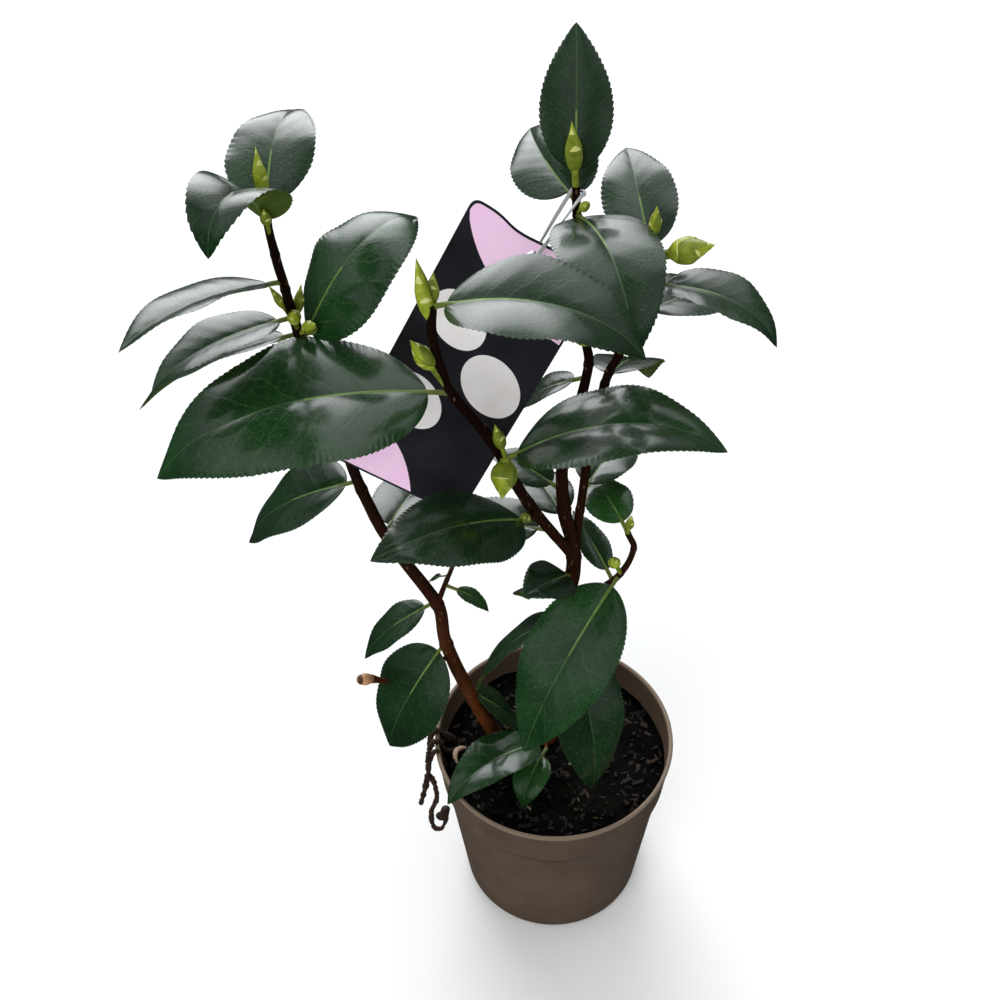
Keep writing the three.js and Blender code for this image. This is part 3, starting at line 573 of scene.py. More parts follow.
def tube(centres, radii, sides, relief=None, closed=False):
    """Rings of points round a line. relief(row, angles) multiplies the radius."""
    centres = np.array(centres, float)
    angles = circle(sides)
    normal = np.array([0.6, 0.8, 0.0])
    rings = []
    count = len(centres)
    for i, centre in enumerate(centres):
        before = centres[(i - 1) % count] if closed else centres[max(i - 1, 0)]
        after = centres[(i + 1) % count] if closed else centres[min(i + 1, count - 1)]
        tangent = unit(after - before)
        normal = unit(normal - tangent * (normal @ tangent))
        binormal = np.cross(tangent, normal)
        radius = np.full(sides, radii[i]) if relief is None else radii[i] * relief(i, angles)
        rings.append(centre + np.outer(radius * np.cos(angles), normal)
                     + np.outer(radius * np.sin(angles), binormal))
    if closed:
        rings.append(rings[0])
    return np.array(rings)


# Limbs with their bark's relief

for limb in LIMBS.values():
    start = ((*limb["foot"], SOIL_TOP + SOIL_GAP) if "foot" in limb
             else along_path(LIMBS[limb["fork"][0]]["points"], limb["fork"][1]))
    limb["points"] = shoot_points(start, limb["internodes"])


def limb_radius(limb, at):
    foot, leafy, tip = limb["radii"]
    if at <= limb["leafy"]:
        return foot + (leafy - foot) * at / limb["leafy"]
    return leafy + (tip - leafy) * (at - limb["leafy"]) / (len(limb["internodes"]) - limb["leafy"])


def bark_relief(rng, stations):
    """Radius factors along a limb: swollen nodes, slow lumps and fine long ridges."""
    phases = rng.uniform(0, 2 * math.pi, 4)

    def relief(row, angles):
        at = stations[row]
        node = abs(at - round(at))
        swelling = 0.14 * math.exp(-(node / 0.05) ** 2)
        lumps = 0.035 * np.sin(3 * angles + phases[0] + at * 7)
        lumps += 0.03 * np.sin(2 * angles - at * 4 + phases[1])
        ridges = 0.02 * np.sin(9 * angles + phases[2] + 1.5 * np.sin(at * 9))
        return 1 + swelling + lumps + ridges * math.sin(at * 3 + phases[3])
    return relief


STATIONS = 26  # rings to an internode
LIMB_SIDES = 20
FOOT_FLARE = 0.22  # share that the radius grows by at a stem's foot
FORK_FLARE = 0.3
FLARE_LENGTH = 0.07  # internodes over which a flare dies away


def limb_piece(name, limb, first, last, rng):
    """The limb's rings from one internode to another. A stem's foot dips into the compost."""
    stations = np.linspace(first, last, int((last - first) * STATIONS) + 1)
    centres = points_along(limb["points"], stations)
    flare = FOOT_FLARE if "foot" in limb else FORK_FLARE
    radii = [limb_radius(limb, at) * (1 + flare * math.exp(-at / FLARE_LENGTH)) for at in stations]
    if first == 0 and "foot" in limb:
        centres[0][2] -= 3 * SOIL_GAP
    piece = Piece(name, BARK)
    piece.grid(tube(centres, radii, LIMB_SIDES, bark_relief(rng, stations)))
    return piece


# Leaves

def blade_outline(t):
    return t ** 0.6 * (1 - t) ** 0.95 / 0.3554


def coarse_midrib(root, spec):
    """The midrib's points and frames at the frame's own steps, from the petiole's end."""
    along = heading(spec["azimuth"], spec["pitch"])
    side = heading(spec["azimuth"] + 90, 0)
    up = np.cross(along, side)
    side, up = turned(side, along, spec["roll"]), turned(up, along, spec["roll"])
    point = root + along * spec["petiole"]
    rows = [(point, side, up)]
    steps = 6 if spec["length"] > 42 else 4
    for i in range(1, steps + 1):
        bend = spec["droop"] / steps * (1.6 * i / steps + 0.12)
        along, up = turned(along, side, bend), turned(up, side, bend)
        turn = spec["side"] / steps
        along, side = turned(along, up, turn), turned(side, up, turn)
        point = point + along * spec["length"] / steps
        rows.append((point, side, up))
    return [np.array(column) for column in zip(*rows)]


TOOTH = 2.3  # spacing of the edge's teeth
TOOTH_DEPTH = 0.75
TOOTH_STATIONS = [0.0, 0.35, 0.65, 0.93]  # where rings stand along a tooth
BLADE = 0.55  # thickness of the blade
USUAL_LENGTH = 90  # of a leaf with the sizes given here; shorter leaves are finer
QUILT = 0.07  # how far the blade swells between its side veins
RIPPLE = 0.02  # wave of the edges, as a share of the width
DISH = 0.24  # depth of the groove along the midrib
ACROSS = np.array([0, 0.07, 0.18, 0.33, 0.5, 0.66, 0.8, 0.91, 1])  # columns from midrib to edge
STALK_DROP = np.array([0, 0, 0.15, 0.55, 0.9])  # of the petiole's points below the blade
STALK_TAPER = np.array([1.25, 0.95, 0.95, 0.75, 0.35])
STALK_ENDS = (0.06, 0.14)  # how far under the blade its last two points are


def midrib_frames(coarse, t):
    """Points, sides and ups on the smooth midrib, from 0 at the petiole to 1 at the tip."""
    steps = len(coarse[0]) - 1
    middle, side, up = (points_along(column, t * steps) for column in coarse)
    side /= np.linalg.norm(side, axis=1)[:, None]
    up -= side * np.sum(up * side, axis=1)[:, None]
    up /= np.linalg.norm(up, axis=1)[:, None]
    return middle, side, up


def blade_sections(spec, t, teeth, rng):
    """Of each station's columns: place across (-1 to 1), shift sideways and up, thickness, keel."""
    t = t[:, None]
    width, size = spec["width"], spec["length"] / USUAL_LENGTH
    half = np.maximum(width / 2 * blade_outline(t), 0.12)
    rib = np.minimum((0.85 - 0.7 * t ** 0.6) * (0.4 + 0.6 * size), half * 0.5)
    reach = rib / half + (1 - rib / half) * ACROSS
    across = np.concatenate([-reach[:, ::-1], np.zeros_like(t), reach], axis=1)
    a = np.abs(across)
    saw = 1 - (t * teeth) % 1.0
    strength = np.clip((t - 0.08) / 0.1, 0, 1) * np.clip((0.97 - t) / 0.08, 0, 1)
    inward = TOOTH_DEPTH * (0.5 + 0.5 * min(size, 1)) * saw * strength * a ** 20
    slope = np.radians(spec["fold"] - 11 * a)
    sideways = np.sign(across) * (a * half - inward) * np.cos(slope)
    fade = np.clip(1 - a, 0, 1) ** 0.5 * np.clip(half / 8, 0, 1) * np.minimum(a * 6, 1)
    quilt = -QUILT * np.cos(2 * math.pi * vein_phase(t, a)) * fade
    waves = rng.uniform(1.6, 2.8, 2)
    starts = rng.uniform(0, 2 * math.pi, 2)
    right, left = (np.sin(2 * math.pi * wave * t + start) for wave, start in zip(waves, starts))
    ripple = RIPPLE * width * np.where(across > 0, right, left) * a ** 2.2 * np.sin(math.pi * t)
    dish = DISH * np.exp(-(a * half / 1.6) ** 2) * np.minimum(half / 6, 1)
    lift = a * half * np.sin(slope) + quilt + ripple - dish
    thick = BLADE * (0.25 + 0.75 * (1 - a ** 4)) * np.minimum(half / 2, 1) * min(0.6 + 0.4 * size, 1)
    keel = (0.9 * (1 - t) + 0.15) * np.exp(-(a * half / (rib * 1.1)) ** 2) * min(size + 0.2, 1)
    return across, sideways, lift, thick, keel


def blade_slots(t, columns, tone):
    """The material of each quad round the ring: the top, then the underside, each with its midrib."""
    slots = np.full((len(t) - 1, 2 * columns), LEAF_SLOTS["under"])
    slots[:, :columns - 1] = tone
    centre = columns // 2
    rib = np.where(t[:-1, None] < 0.4, LEAF_SLOTS["midrib"], LEAF_SLOTS["faint"])
    slots[:, centre - 1:centre + 1] = rib
    slots[:, 2 * columns - 2 - centre:2 * columns - centre] = LEAF_SLOTS["midrib"]
    return slots


def there_and_back(front, back):
    """Rings that run along the front's columns and return along the back's."""
    return np.concatenate([front, back[:, ::-1]], axis=1)


def petiole(piece, root, start, up, middle, length):
    """The leaf's stalk, which runs on a little way under the blade."""
    under = [middle[int(len(middle) * share)] for share in STALK_ENDS]
    stalk = np.array([root, root + (start - root) * 0.5, start, *under])
    stalk -= np.outer(STALK_DROP * min(length / USUAL_LENGTH + 0.2, 1), up)
    stations = evenly(4, 4)
    radii = min(1.05, length / 22) * np.interp(stations, range(5), STALK_TAPER)
    piece.grid(tube(points_along(stalk, stations), radii, 10), LEAF_SLOTS["petiole"])


def leaf_blade(piece, root, spec, rng):
    """A serrated blade with sunk midrib and veins, on its petiole."""
    teeth = max(round(spec["length"] / TOOTH), 6)
    t = np.append((np.arange(teeth)[:, None] + TOOTH_STATIONS).ravel() / teeth, 1.0)
    coarse = coarse_midrib(root, spec)
    middle, side, up = midrib_frames(coarse, t)
    across, sideways, lift, thick, keel = blade_sections(spec, t, teeth, rng)
    surface = middle[:, None] + side[:, None] * sideways[..., None] + up[:, None] * lift[..., None]
    top = surface + up[:, None] * (thick / 2)[..., None]
    under = surface - up[:, None] * (thick / 2 + keel)[..., None]
    uv = np.stack([np.broadcast_to(t[:, None], across.shape), across], -1)
    slots = blade_slots(t, across.shape[1], spec["tone"])
    piece.grid(there_and_back(top, under), slots, there_and_back(uv, uv))
    petiole(piece, root, coarse[0][0], coarse[2][0], middle, spec["length"])


# Buds with overlapping scales

BUD_PROFILE = np.array([[0, 0.45], [0.2, 0.9], [0.45, 1], [0.7, 0.62], [0.9, 0.24], [1, 0.03]])


def bud_radius(t):
    """The bud's outline, rounded by a smooth curve through its profile."""
    spans = np.interp(t, BUD_PROFILE[:, 0], range(len(BUD_PROFILE)))
    return max(along_path(BUD_PROFILE, float(spans))[1], 0.02)


# Scales: where along the bud each starts and ends, from the lowest up, the turn from each to the
# next, its spread round the bud, the powers of its taper, and how many rows its pale tip has
SLIM = dict(scales=[(0.0, 0.44), (0.07, 0.58), (0.16, 0.76), (0.26, 0.9), (0.36, 0.99)],
            turn=165, spread=88, taper=(1.7, 0.62), tip=4)
PLUMP = dict(scales=[(0.0, 0.34), (0.04, 0.46), (0.08, 0.6), (0.14, 0.72), (0.2, 0.85), (0.28, 0.93),
                     (0.36, 0.99)],
             turn=137.5, spread=74, taper=(2.4, 0.5), tip=2)
PLUMP_RADIUS = 4  # a bud above this is plump
SHORT_BUD = 12  # a slim bud up to this length has one scale fewer
SCALE_COLUMNS = np.array([-1, -0.93, -0.72, -0.4, 0, 0.4, 0.72, 0.93, 1])


def bud_scale(piece, shell, kind, span, centre, layer, slot):
    """A scale that wraps round the bud and narrows to a pale tip."""
    u = np.linspace(0, 1, 22)[:, None]
    v = SCALE_COLUMNS[None, :]
    sharp, blunt = kind["taper"]
    taper = np.clip(1 - u ** sharp, 0.0002, 1) ** blunt
    angles = centre + v * math.radians(kind["spread"]) * taper
    level = span[0] + (span[1] - span[0]) * u
    lift = 1 + layer + 0.03 * np.sin(math.pi * u) + 0.06 * u ** 6
    ring = there_and_back(shell(level, angles, lift * (1 - 0.04 * np.abs(v) ** 4)),
                          shell(level, angles, lift * 0.94))
    slots = np.full((len(u) - 1, ring.shape[1]), slot)
    slots[-kind["tip"]:, :len(SCALE_COLUMNS) - 1] = 2
    piece.grid(ring, slots)


def scaly_bud(piece, root, spec, rng):
    """A plain core, scales that overlap round it, and a short stalk."""
    along = heading(spec["azimuth"], spec["pitch"])
    guide = np.array([0.2, 0.5, 0.8])
    normal = unit(guide - along * (guide @ along))
    binormal = np.cross(along, normal)
    length, radius = spec["length"], spec["radius"]
    foot = root + along * (spec["reach"] - length)

    def shell(levels, angles, factors):
        """Points at levels along the bud, angles round it and factors of its outline."""
        levels, angles, factors = np.broadcast_arrays(levels, angles, factors)
        outline = np.vectorize(bud_radius)(np.clip(levels, 0, 1)) * radius * factors
        return (foot + along * (levels * length)[..., None] + normal * (outline * np.cos(angles))[..., None]
                + binormal * (outline * np.sin(angles))[..., None])

    piece.grid(shell(np.linspace(0, 1, 24)[:, None], circle(18), 0.92))
    kind = PLUMP if radius > PLUMP_RADIUS else SLIM
    scales = kind["scales"]
    if kind is SLIM and length <= SHORT_BUD:
        scales = scales[:-1]
    first = rng.uniform(0, 2 * math.pi)
    for i, span in enumerate(scales):
        centre = first + i * math.radians(kind["turn"])
        # every other scale takes the painted-shade copy of the scale green
        bud_scale(piece, shell, kind, span, centre, 0.1 * (len(scales) - i) / len(scales), i % 2)
    thickness = max(radius * 0.42, 0.8)
    ends = np.linspace(0, 1, 5)
    inside = foot + along * length * 0.2
    # the stalk takes the painted-shade copy of the scale green
    piece.grid(tube([root + (inside - root) * s for s in ends], thickness * (1.1 - 0.2 * ends), 12), 1)


# The plant

def grow(name, path, growths, rng, *nodes):
    """The leaves of a shoot in one piece and its buds in another."""
    leaves = [g for g in growths if "width" in g]
    buds = [g for g in growths if "reach" in g]
    if leaves:
        piece = Piece(name + "_leaves", *LEAF_MATERIALS)
        for spec in leaves:
            leaf_blade(piece, along_path(path, spec["at"]), spec, rng)
        piece.make("leaf", *nodes)
    if buds:
        piece = Piece(name + "_buds", BUD_GREEN, BUD_DEEP, BUD_PALE)
        for spec in buds:
            scaly_bud(piece, along_path(path, spec["at"]), spec, rng)
        piece.make("leaf", *nodes)


def grow_shoot(name, limb, shoot, rng, node):
    """A shoot on a limb: its own stem, where it has one, with its leaves and buds."""
    path = shoot_points(along_path(limb["points"], shoot["at"]), shoot.get("internodes", [(1, 0, 90)]))
    if "internodes" in shoot:
        stations = evenly(len(shoot["internodes"]), 12)
        radii = np.interp(stations, [0, stations[-1]], shoot["radii"])
        twig = Piece(name + "_stem", BARK)
        twig.grid(tube(points_along(path, stations), radii, 14, bark_relief(rng, stations)))
        twig.make("bark", node)
    grow(name, path, shoot["growths"], rng, node)


def seeded_draws(seed):
    """Repeatable draws between two bounds."""
    state = seed

    def draw(bounds):
        nonlocal state
        state = state * 16807 % 2147483647
        return bounds[0] + (bounds[1] - bounds[0]) * state / 2147483647
    return draw


def stays_clear(root, spec):
    """Whether a seeded leaf's midrib stays in the crown's space and its blade clear of the limbs."""
    points = coarse_midrib(root, spec)[0]
    if (points < CROWN_SPACE[0]).any() or (points > CROWN_SPACE[1]).any():
        return False
    for limb in LIMBS.values():
        path = points_along(limb["points"], evenly(len(limb["internodes"]), 4))
        if np.linalg.norm(points[2:, None] - path, axis=-1).min() <= LIMB_REACH:
            return False
    return True


def grown(limb, shoot):
    """The seeded rule: a leaf at the end of each internode, turned round from the leaf before it."""
    draw = seeded_draws(shoot["seed"])
    internodes, leaves = [], []
    azimuth = shoot["azimuth"] + draw(RULE["first_turn"])
    for at in range(1, shoot["count"] + 1):
        internodes.append((draw(RULE["internode"]), shoot["azimuth"] + draw(RULE["stray"]),
                           shoot["pitch"] + draw(RULE["rise"])))
        length = draw(shoot["blade"])
        pitch = draw(RULE["leaf_pitch"])
        width = length * draw(RULE["width_ratio"])
        leaves.append(leaf(at, azimuth, pitch, length, width, roll=draw(RULE["roll"]),
                           droop=draw(RULE["droop"]), tone=at % 3))
        azimuth += draw(RULE["turn"])
    path = shoot_points(along_path(limb["points"], shoot["at"]), internodes)
    kept = [spec for spec in leaves if stays_clear(along_path(path, spec["at"]), spec)]
    return dict(shoot, internodes=internodes, radii=RULE["radii"], growths=kept)


def build_plant():
    rng = np.random.default_rng(SEED)
    for name, limb in LIMBS.items():
        limb_piece(name + "_bark", limb, 0, limb["leafy"], rng).make("bark", name)
        crown = limb["crown"]
        limb_piece(crown + "_stem", limb, limb["leafy"], len(limb["internodes"]), rng).make("bark", crown)
        grow(crown, limb["points"], CROWNS[crown], rng, crown)
    for name, shoot in SIDE_SHOOTS.items():
        grow_shoot(name, LIMBS[shoot["on"]], shoot, rng, name)
    for limb in ("left_stem", "trunk", "right_bough"):
        numbered = [(i + 1, spec) for i, (on, spec) in enumerate(SINGLE_LEAVES) if on == limb]
        nodes = [f"side_leaf_{number}" for number, _ in numbered]
        grow(limb + "_side", LIMBS[limb]["points"], [spec for _, spec in numbered], rng, *nodes)
    for limb in LIMBS.values():
        for i, twig in enumerate(TWIGS.get(limb["crown"], [])):
            grow_shoot(f"{limb['crown']}_twig_{i + 1}", limb, grown(limb, twig), rng, limb["crown"])
    for name, shoot in BACK_SHOOTS.items():
        limb = LIMBS[shoot["on"]]
        grow_shoot(name, limb, grown(limb, shoot), rng, name)


# Pot and compost

def lathe(profile, segments):
    """Rings of points from (radius, height) pairs."""
    turn = circle(segments)
    profile = np.array(profile, float)
    return np.stack([profile[:, :1] * np.cos(turn), profile[:, :1] * np.sin(turn),
                     np.broadcast_to(profile[:, 1:], (len(profile), segments))], -1)


def arc(cx, cy, radius, start, end, steps):
    angles = np.radians(np.linspace(start, end, steps + 1))
    return [(cx + radius * math.cos(a), cy + radius * math.sin(a)) for a in angles]


def build_pot():
    rim, height, lip, wall = (POT[key] for key in ("rim", "height", "lip", "wall"))
    base, floor, corner, collar = (POT[key] for key in ("base", "floor", "base_corner", "collar_radius"))
    collar_foot = height - POT["collar"]
    top, level = collar - POT["step"], collar_foot - 1  # of the tapered body
    lip_round = lip / 2
    profile = [
        (3, 0), (20, 0), (40, 0),  # underside
        *arc(base - corner, corner, corner, -90, -6, 6),
        *[(base + (top - base) * s, corner + (level - corner) * s) for s in (0.1, 0.4, 0.7, 0.97)],
        (top + 0.25, level + 0.1),
        *arc(collar - 0.9, collar_foot + 0.8, 0.9, -90, 0, 5),  # the step out to the collar
        (rim - 0.75, height - 3.4),
        *arc(rim - lip_round, height - lip_round, lip_round, 0, 180, 10),
        (rim - lip, height - 2.4),  # inside, from here on
        (collar - wall, collar_foot + 0.6),
        (top - wall, level - 0.6),
        (base - wall, floor), (30, floor), (3, floor),
    ]
    piece = Piece("pot_shell", POT_PLASTIC)
    piece.grid(lathe(profile, 160))
    piece.make("pot", "pot", crease=40)


SOIL_SUNK = 0.9  # how far the compost's mean level is under the solid's top
SOIL_DIP = dict(start=44, end=62, depth=2.2)  # radii between which it dips to the wall
SOIL_RADIUS = 62.1
SOIL_WAVES = [0.1, 0.22, 0.5, 1.1]  # radians to the millimetre, from mounds to crumbs
CHIPS = 520
CHIP_REACH = 60
CHIP_SIDES = [(0.8, 2.4), (0.4, 1.0), (0.25, 0.6)]
# Kinds of chip: name, dark and light colour, roughness, share of all, size
CHIP_KINDS = [("chip_dark", "0a0604", "170f0a", 0.9, 0.7, 1.0),
              ("chip_brown", "20150e", "38281b", 0.9, 0.13, 1.1),
              ("chip_pale", "6b5a46", "93806a", 0.85, 0.02, 1.0),
              ("moss", "141c08", "2a3611", 0.9, 0.15, 0.6)]


def compost_level(x, y, waves):
    """Gentle mounds and lumps on a top that dips to the pot's wall."""
    total = np.zeros_like(x)
    for wave_x, wave_y, phase, size in waves:
        total = total + size * np.sin(x * wave_x + y * wave_y + phase)
    dip = np.clip((np.hypot(x, y) - SOIL_DIP["start"]) / (SOIL_DIP["end"] - SOIL_DIP["start"]), 0, 1)
    return SOIL_TOP - SOIL_SUNK - SOIL_DIP["depth"] * dip ** 2 + total * 0.55


def build_chips(rng, waves):
    """Rough blocks of bark and moss, strewn over the compost."""
    chips = Piece("compost_chips", *[mottled(name, dark, light, 300, roughness, 0.2)
                                     for name, dark, light, roughness, _, _ in CHIP_KINDS])
    cube = np.array([[x, y, z] for x in (-1, 1) for y in (-1, 1) for z in (-1, 1)], float)
    cube_faces = [(0, 1, 3, 2), (4, 6, 7, 5), (0, 4, 5, 1), (2, 3, 7, 6), (0, 2, 6, 4), (1, 5, 7, 3)]
    for _ in range(CHIPS):
        r, a = CHIP_REACH * math.sqrt(rng.uniform()), rng.uniform(0, 2 * math.pi)
        x, y = r * math.cos(a), r * math.sin(a)
        kind = rng.choice(len(CHIP_KINDS), p=[row[4] for row in CHIP_KINDS])
        size = rng.uniform(0.5, 1.5) * CHIP_KINDS[kind][5]
        sides = np.array([rng.uniform(*bounds) for bounds in CHIP_SIDES])
        shape = cube * size * sides * rng.uniform(0.55, 1.15, cube.shape)
        spin = Matrix.Rotation(rng.uniform(0, 6.3), 3, "Z") @ Matrix.Rotation(rng.normal(0, 0.4), 3, "X")
        level = float(compost_level(np.array(x), np.array(y), waves))
        chips.solid(shape @ np.array(spin).T + (x, y, level + 0.2 * size), cube_faces, int(kind))
    chips.make("soil", crease=20)


def build_soil():
    rng = np.random.default_rng(SEED + 1)
    waves = [(*(rng.normal(0, 1, 2) * pace), rng.uniform(0, 6.3), 0.9 * (0.1 / pace) ** 0.75)
             for pace in np.repeat(SOIL_WAVES, 7)]
    radii = np.concatenate([[0.4], np.linspace(1.2, SOIL_RADIUS, 66)])[:, None]
    turn = circle(200)
    x, y = radii * np.cos(turn), radii * np.sin(turn)
    top = np.stack([x, y, compost_level(x, y, waves)], -1)[::-1]
    skirt = lathe([(49, 3), (SOIL_RADIUS - 2.5, 90), (SOIL_RADIUS - 0.6, 99)], len(turn))
    piece = Piece("compost", COMPOST)
    piece.grid(np.concatenate([skirt, top]))
    piece.make("soil", "soil", crease=180)
    build_chips(rng, waves)


# Litter: what lies on the pot and what has dried on the plant

# Dried rootlets that hang over the rim's left: points along each, and its thickness
ROOTLETS = [
    ([(-50, 2, 103), (-59, -1, 106), (-64.5, -4, 119.6), (-68.2, -7, 115), (-69.5, -10, 108),
      (-69.6, -10, 96)], 1.25),
    ([(-69.6, -10, 97), (-72.4, -10.5, 83), (-75.3, -11, 70)], 1.35),
    ([(-69.6, -10, 97), (-66.8, -11, 90), (-66, -12, 77), (-70, -12, 62), (-69.5, -13, 49), (-65, -13, 46),
      (-61.8, -13, 56), (-61.2, -13, 63)], 1.1),
    ([(-60, -9, 104), (-63.8, -10, 119.3), (-67, -11, 114), (-68.6, -10.5, 101)], 0.9),
    ([(-56, 9, 103), (-61, 6, 112), (-65.2, 3, 119.5), (-67.6, 0, 116), (-68.4, -3, 108)], 1.5),
    ([(-64.6, -13, 59), (-62.0, -13.5, 64), (-61.6, -14, 69)], 2.0),
]
CHIP_CURL = dict(centre=(-49, -4.8, 105), radii=(5.5, 6), rise=1.5)
STALK_AT = 1.8  # internodes up the left stem
STALK_POINTS = [(-68, 11, 163), (-84, 4, 163), (-94, -7, 179)]
STALK_RADII = ([0, 2, 2.7, 3], [1.3, 0.8, 1.7, 2.4])
DRIED_BUD = dict(foot=(-92.8, -6.5, 178.6), tip=(-100.5, -10.4, 182.7), radius=3.0)


def build_rootlets():
    rng = np.random.default_rng(SEED + 2)
    rootlets = Piece("dried_rootlets", mottled("rootlet", "1c110c", "3a261a", 400, 0.8, 0.3, (1, 1, 0.3)))
    for points, thick in ROOTLETS:
        points = np.array(points, float)
        stations = evenly(len(points) - 1, 9)
        centres = points_along(points, stations) + rng.normal(0, 0.12, (len(stations), 3))
        lumps = rng.uniform(0.7, 1.3, len(stations))
        radii = thick * np.interp(stations, [0, stations[-1]], [1.4, 1.0]) * lumps
        rootlets.grid(tube(centres, radii, 9))
    rootlets.make("soil")


def build_curled_chip():
    """A thin shaving on the compost, thickest in its middle."""
    chip = Piece("curled_chip", mottled("curled_chip", "a98c76", "cdb29c", 300, 0.7, 0.2))
    u = np.linspace(0, 1, 18)
    bend = np.radians(80 + 150 * u)
    (x, y, z), (long, wide) = CHIP_CURL["centre"], CHIP_CURL["radii"]
    line = np.stack([x + long * np.cos(bend), y + wide * np.sin(bend),
                     z + CHIP_CURL["rise"] * np.sin(math.pi * u)], -1)
    chip.grid(tube(line, 0.25 + 1.3 * np.sin(math.pi * u) ** 0.7, 10))
    chip.make("soil")


def build_dried_bud():
    """A dead bud on its bent stalk, on the left stem."""
    foot = along_path(LIMBS["left_stem"]["points"], STALK_AT)
    path = np.array([foot, *STALK_POINTS])
    stations = evenly(3, 9)
    stalk = Piece("dried_bud_stalk", BARK)
    stalk.grid(tube(points_along(path, stations), np.interp(stations, *STALK_RADII), 12))
    stalk.make("bark")
    husk = Piece("dried_bud", mottled("dried_bud", "8f5f3c", "c99a70", 180, 0.5, 0.1),
                 mottled("dried_bud_scar", "3a2417", "4d3120", 180, 0.6, 0.1))
    u = np.linspace(0.02, 0.98, 20)
    line = np.outer(1 - u, DRIED_BUD["foot"]) + np.outer(u, DRIED_BUD["tip"])
    slots = np.zeros((19, 16), int)
    slots[-4:] = 1
    husk.grid(tube(line, DRIED_BUD["radius"] * np.sqrt(1 - (2 * u - 1) ** 2) + 0.1, 16), slots)
    husk.make("bark")


# Card and wire

def card_frame():
    """The card's corner and its across, down and inward directions."""
    down = heading(CARD_PLACE["azimuth"], CARD_PLACE["pitch"])
    across = turned(heading(CARD_PLACE["azimuth"] + 90, 0), down, CARD_PLACE["roll"])
    return np.array(CARD_PLACE["corner"], float), across, down, np.cross(across, down)


def card_points(flat, level):
    corner, across, down, inward = card_frame()
    flat = np.array(flat, float)
    return corner + flat[:, :1] * across + flat[:, 1:] * down + inward * level


def curve(steps, *controls):
    """A Bezier curve's points, without the first."""
    u = np.linspace(0, 1, steps + 1)[1:, None]
    points = [np.array(p, float) for p in controls]
    while len(points) > 1:
        points = [(1 - u) * p + u * q for p, q in zip(points, points[1:])]
    return points[0].tolist()


def card_outlines():
    """The card's outline and those of its upper and lower print, across and down from its corner."""
    w, h, c, edge = CARD["width"], CARD["length"], CARD["corner"], PRINT_MARGIN

    def wavy_top(inset):
        start, end = [inset, c + inset], [w - c, 2 + inset]
        return [start, *curve(6, start, (inset, inset), (c, inset)),
                *curve(12, (c, inset), (w * 0.3, inset), (w * 0.25, 4 + inset), (w * 0.5, 3 + inset)),
                end, *curve(6, end, (w - inset, 2 + inset), (w - inset, c + 2))]

    whole = [*wavy_top(0), [w, h - c], *curve(6, (w, h - c), (w, h), (w - c, h)),
             [c, h], *curve(6, (c, h), (0, h), (0, h - c))]
    right, left = [w - edge, UPPER_BAND["side"]], [edge, LOWER_BAND["side"]]
    upper = [*wavy_top(edge), right, *curve(20, right, (w * 0.3, UPPER_BAND["middle"]), (edge, c + 2))[:-1]]
    lower = [left, *curve(16, left, (w * 0.4, LOWER_BAND["middle"]), (w * 0.6, h - edge)),
             [c, h - edge], [edge, h - c]]
    return whole, upper, lower


def oval_outline(across, down, long, short):
    turn = circle(48)
    x, y = long * np.cos(turn), short * np.sin(turn)
    tilt_x, tilt_y = math.cos(OVAL_TILT), math.sin(OVAL_TILT)
    return np.stack([across * CARD["width"] + x * tilt_x - y * tilt_y, down + x * tilt_y + y * tilt_x], -1)


def sheet(name, outline, levels, material, slot, *nodes, hole=True):
    """A flat sheet between two levels, with the card's round hole where it is asked for."""
    work = bmesh.new()
    loops = [outline]
    if hole:
        turn = circle(32)
        loops.append(HOLE_CENTRE + CARD["hole"] * np.stack([np.cos(turn), np.sin(turn)], -1))
    front, back = levels
    edges = []
    for loop in loops:
        verts = [work.verts.new(p * MM) for p in card_points(loop, back)]
        edges += [work.edges.new((verts[i], verts[(i + 1) % len(verts)])) for i in range(len(verts))]
    filled = bmesh.ops.triangle_fill(work, edges=edges, use_beauty=True)["geom"]
    faces = [g for g in filled if isinstance(g, bmesh.types.BMFace)]
    raised = bmesh.ops.extrude_face_region(work, geom=faces)["geom"]
    shift = card_frame()[3] * (front - back) * MM
    bmesh.ops.translate(work, vec=shift, verts=[g for g in raised if isinstance(g, bmesh.types.BMVert)])
    bmesh.ops.recalc_face_normals(work, faces=work.faces)
    mesh = bpy.data.meshes.new(name)
    work.to_mesh(mesh)
    work.free()
    mesh.materials.append(material)
    settle(name, mesh, slot, nodes)


PRINT = (-0.12, -0.02)  # front and back of the print, from the card's face


def card_ink(name, dark, light, scale, roughness=0.35, coat=0.3):
    return mottled(name, dark, light, scale, roughness, 0.02, Coat_Weight=coat, Coat_Roughness=0.2)


def build_card():
    """A dark card with pink bands and pale ovals printed on its face."""
    dark = card_ink("card_dark", "15151b", "26262e", 40, 0.3, 0.4)
    pink = card_ink("card_pink", "ffd2f7", "ffdcf9", 60)
    pale = card_ink("card_pale", "fbeeee", "ffffff", 70)
    whole, upper, lower = card_outlines()
    sheet("card_sheet", whole, (0, CARD["thickness"]), dark, "card_dark", "card")
    sheet("card_upper_print", upper, PRINT, pink, "card_pink", "card_upper_band")
    sheet("card_lower_print", lower, PRINT, pink, "card_pink", "card_lower_band", hole=False)
    for i, oval in enumerate(OVALS, 1):
        sheet(f"card_oval_print_{i}", oval_outline(**oval), PRINT, pale, "card_pale", f"card_oval_{i}",
              hole=False)


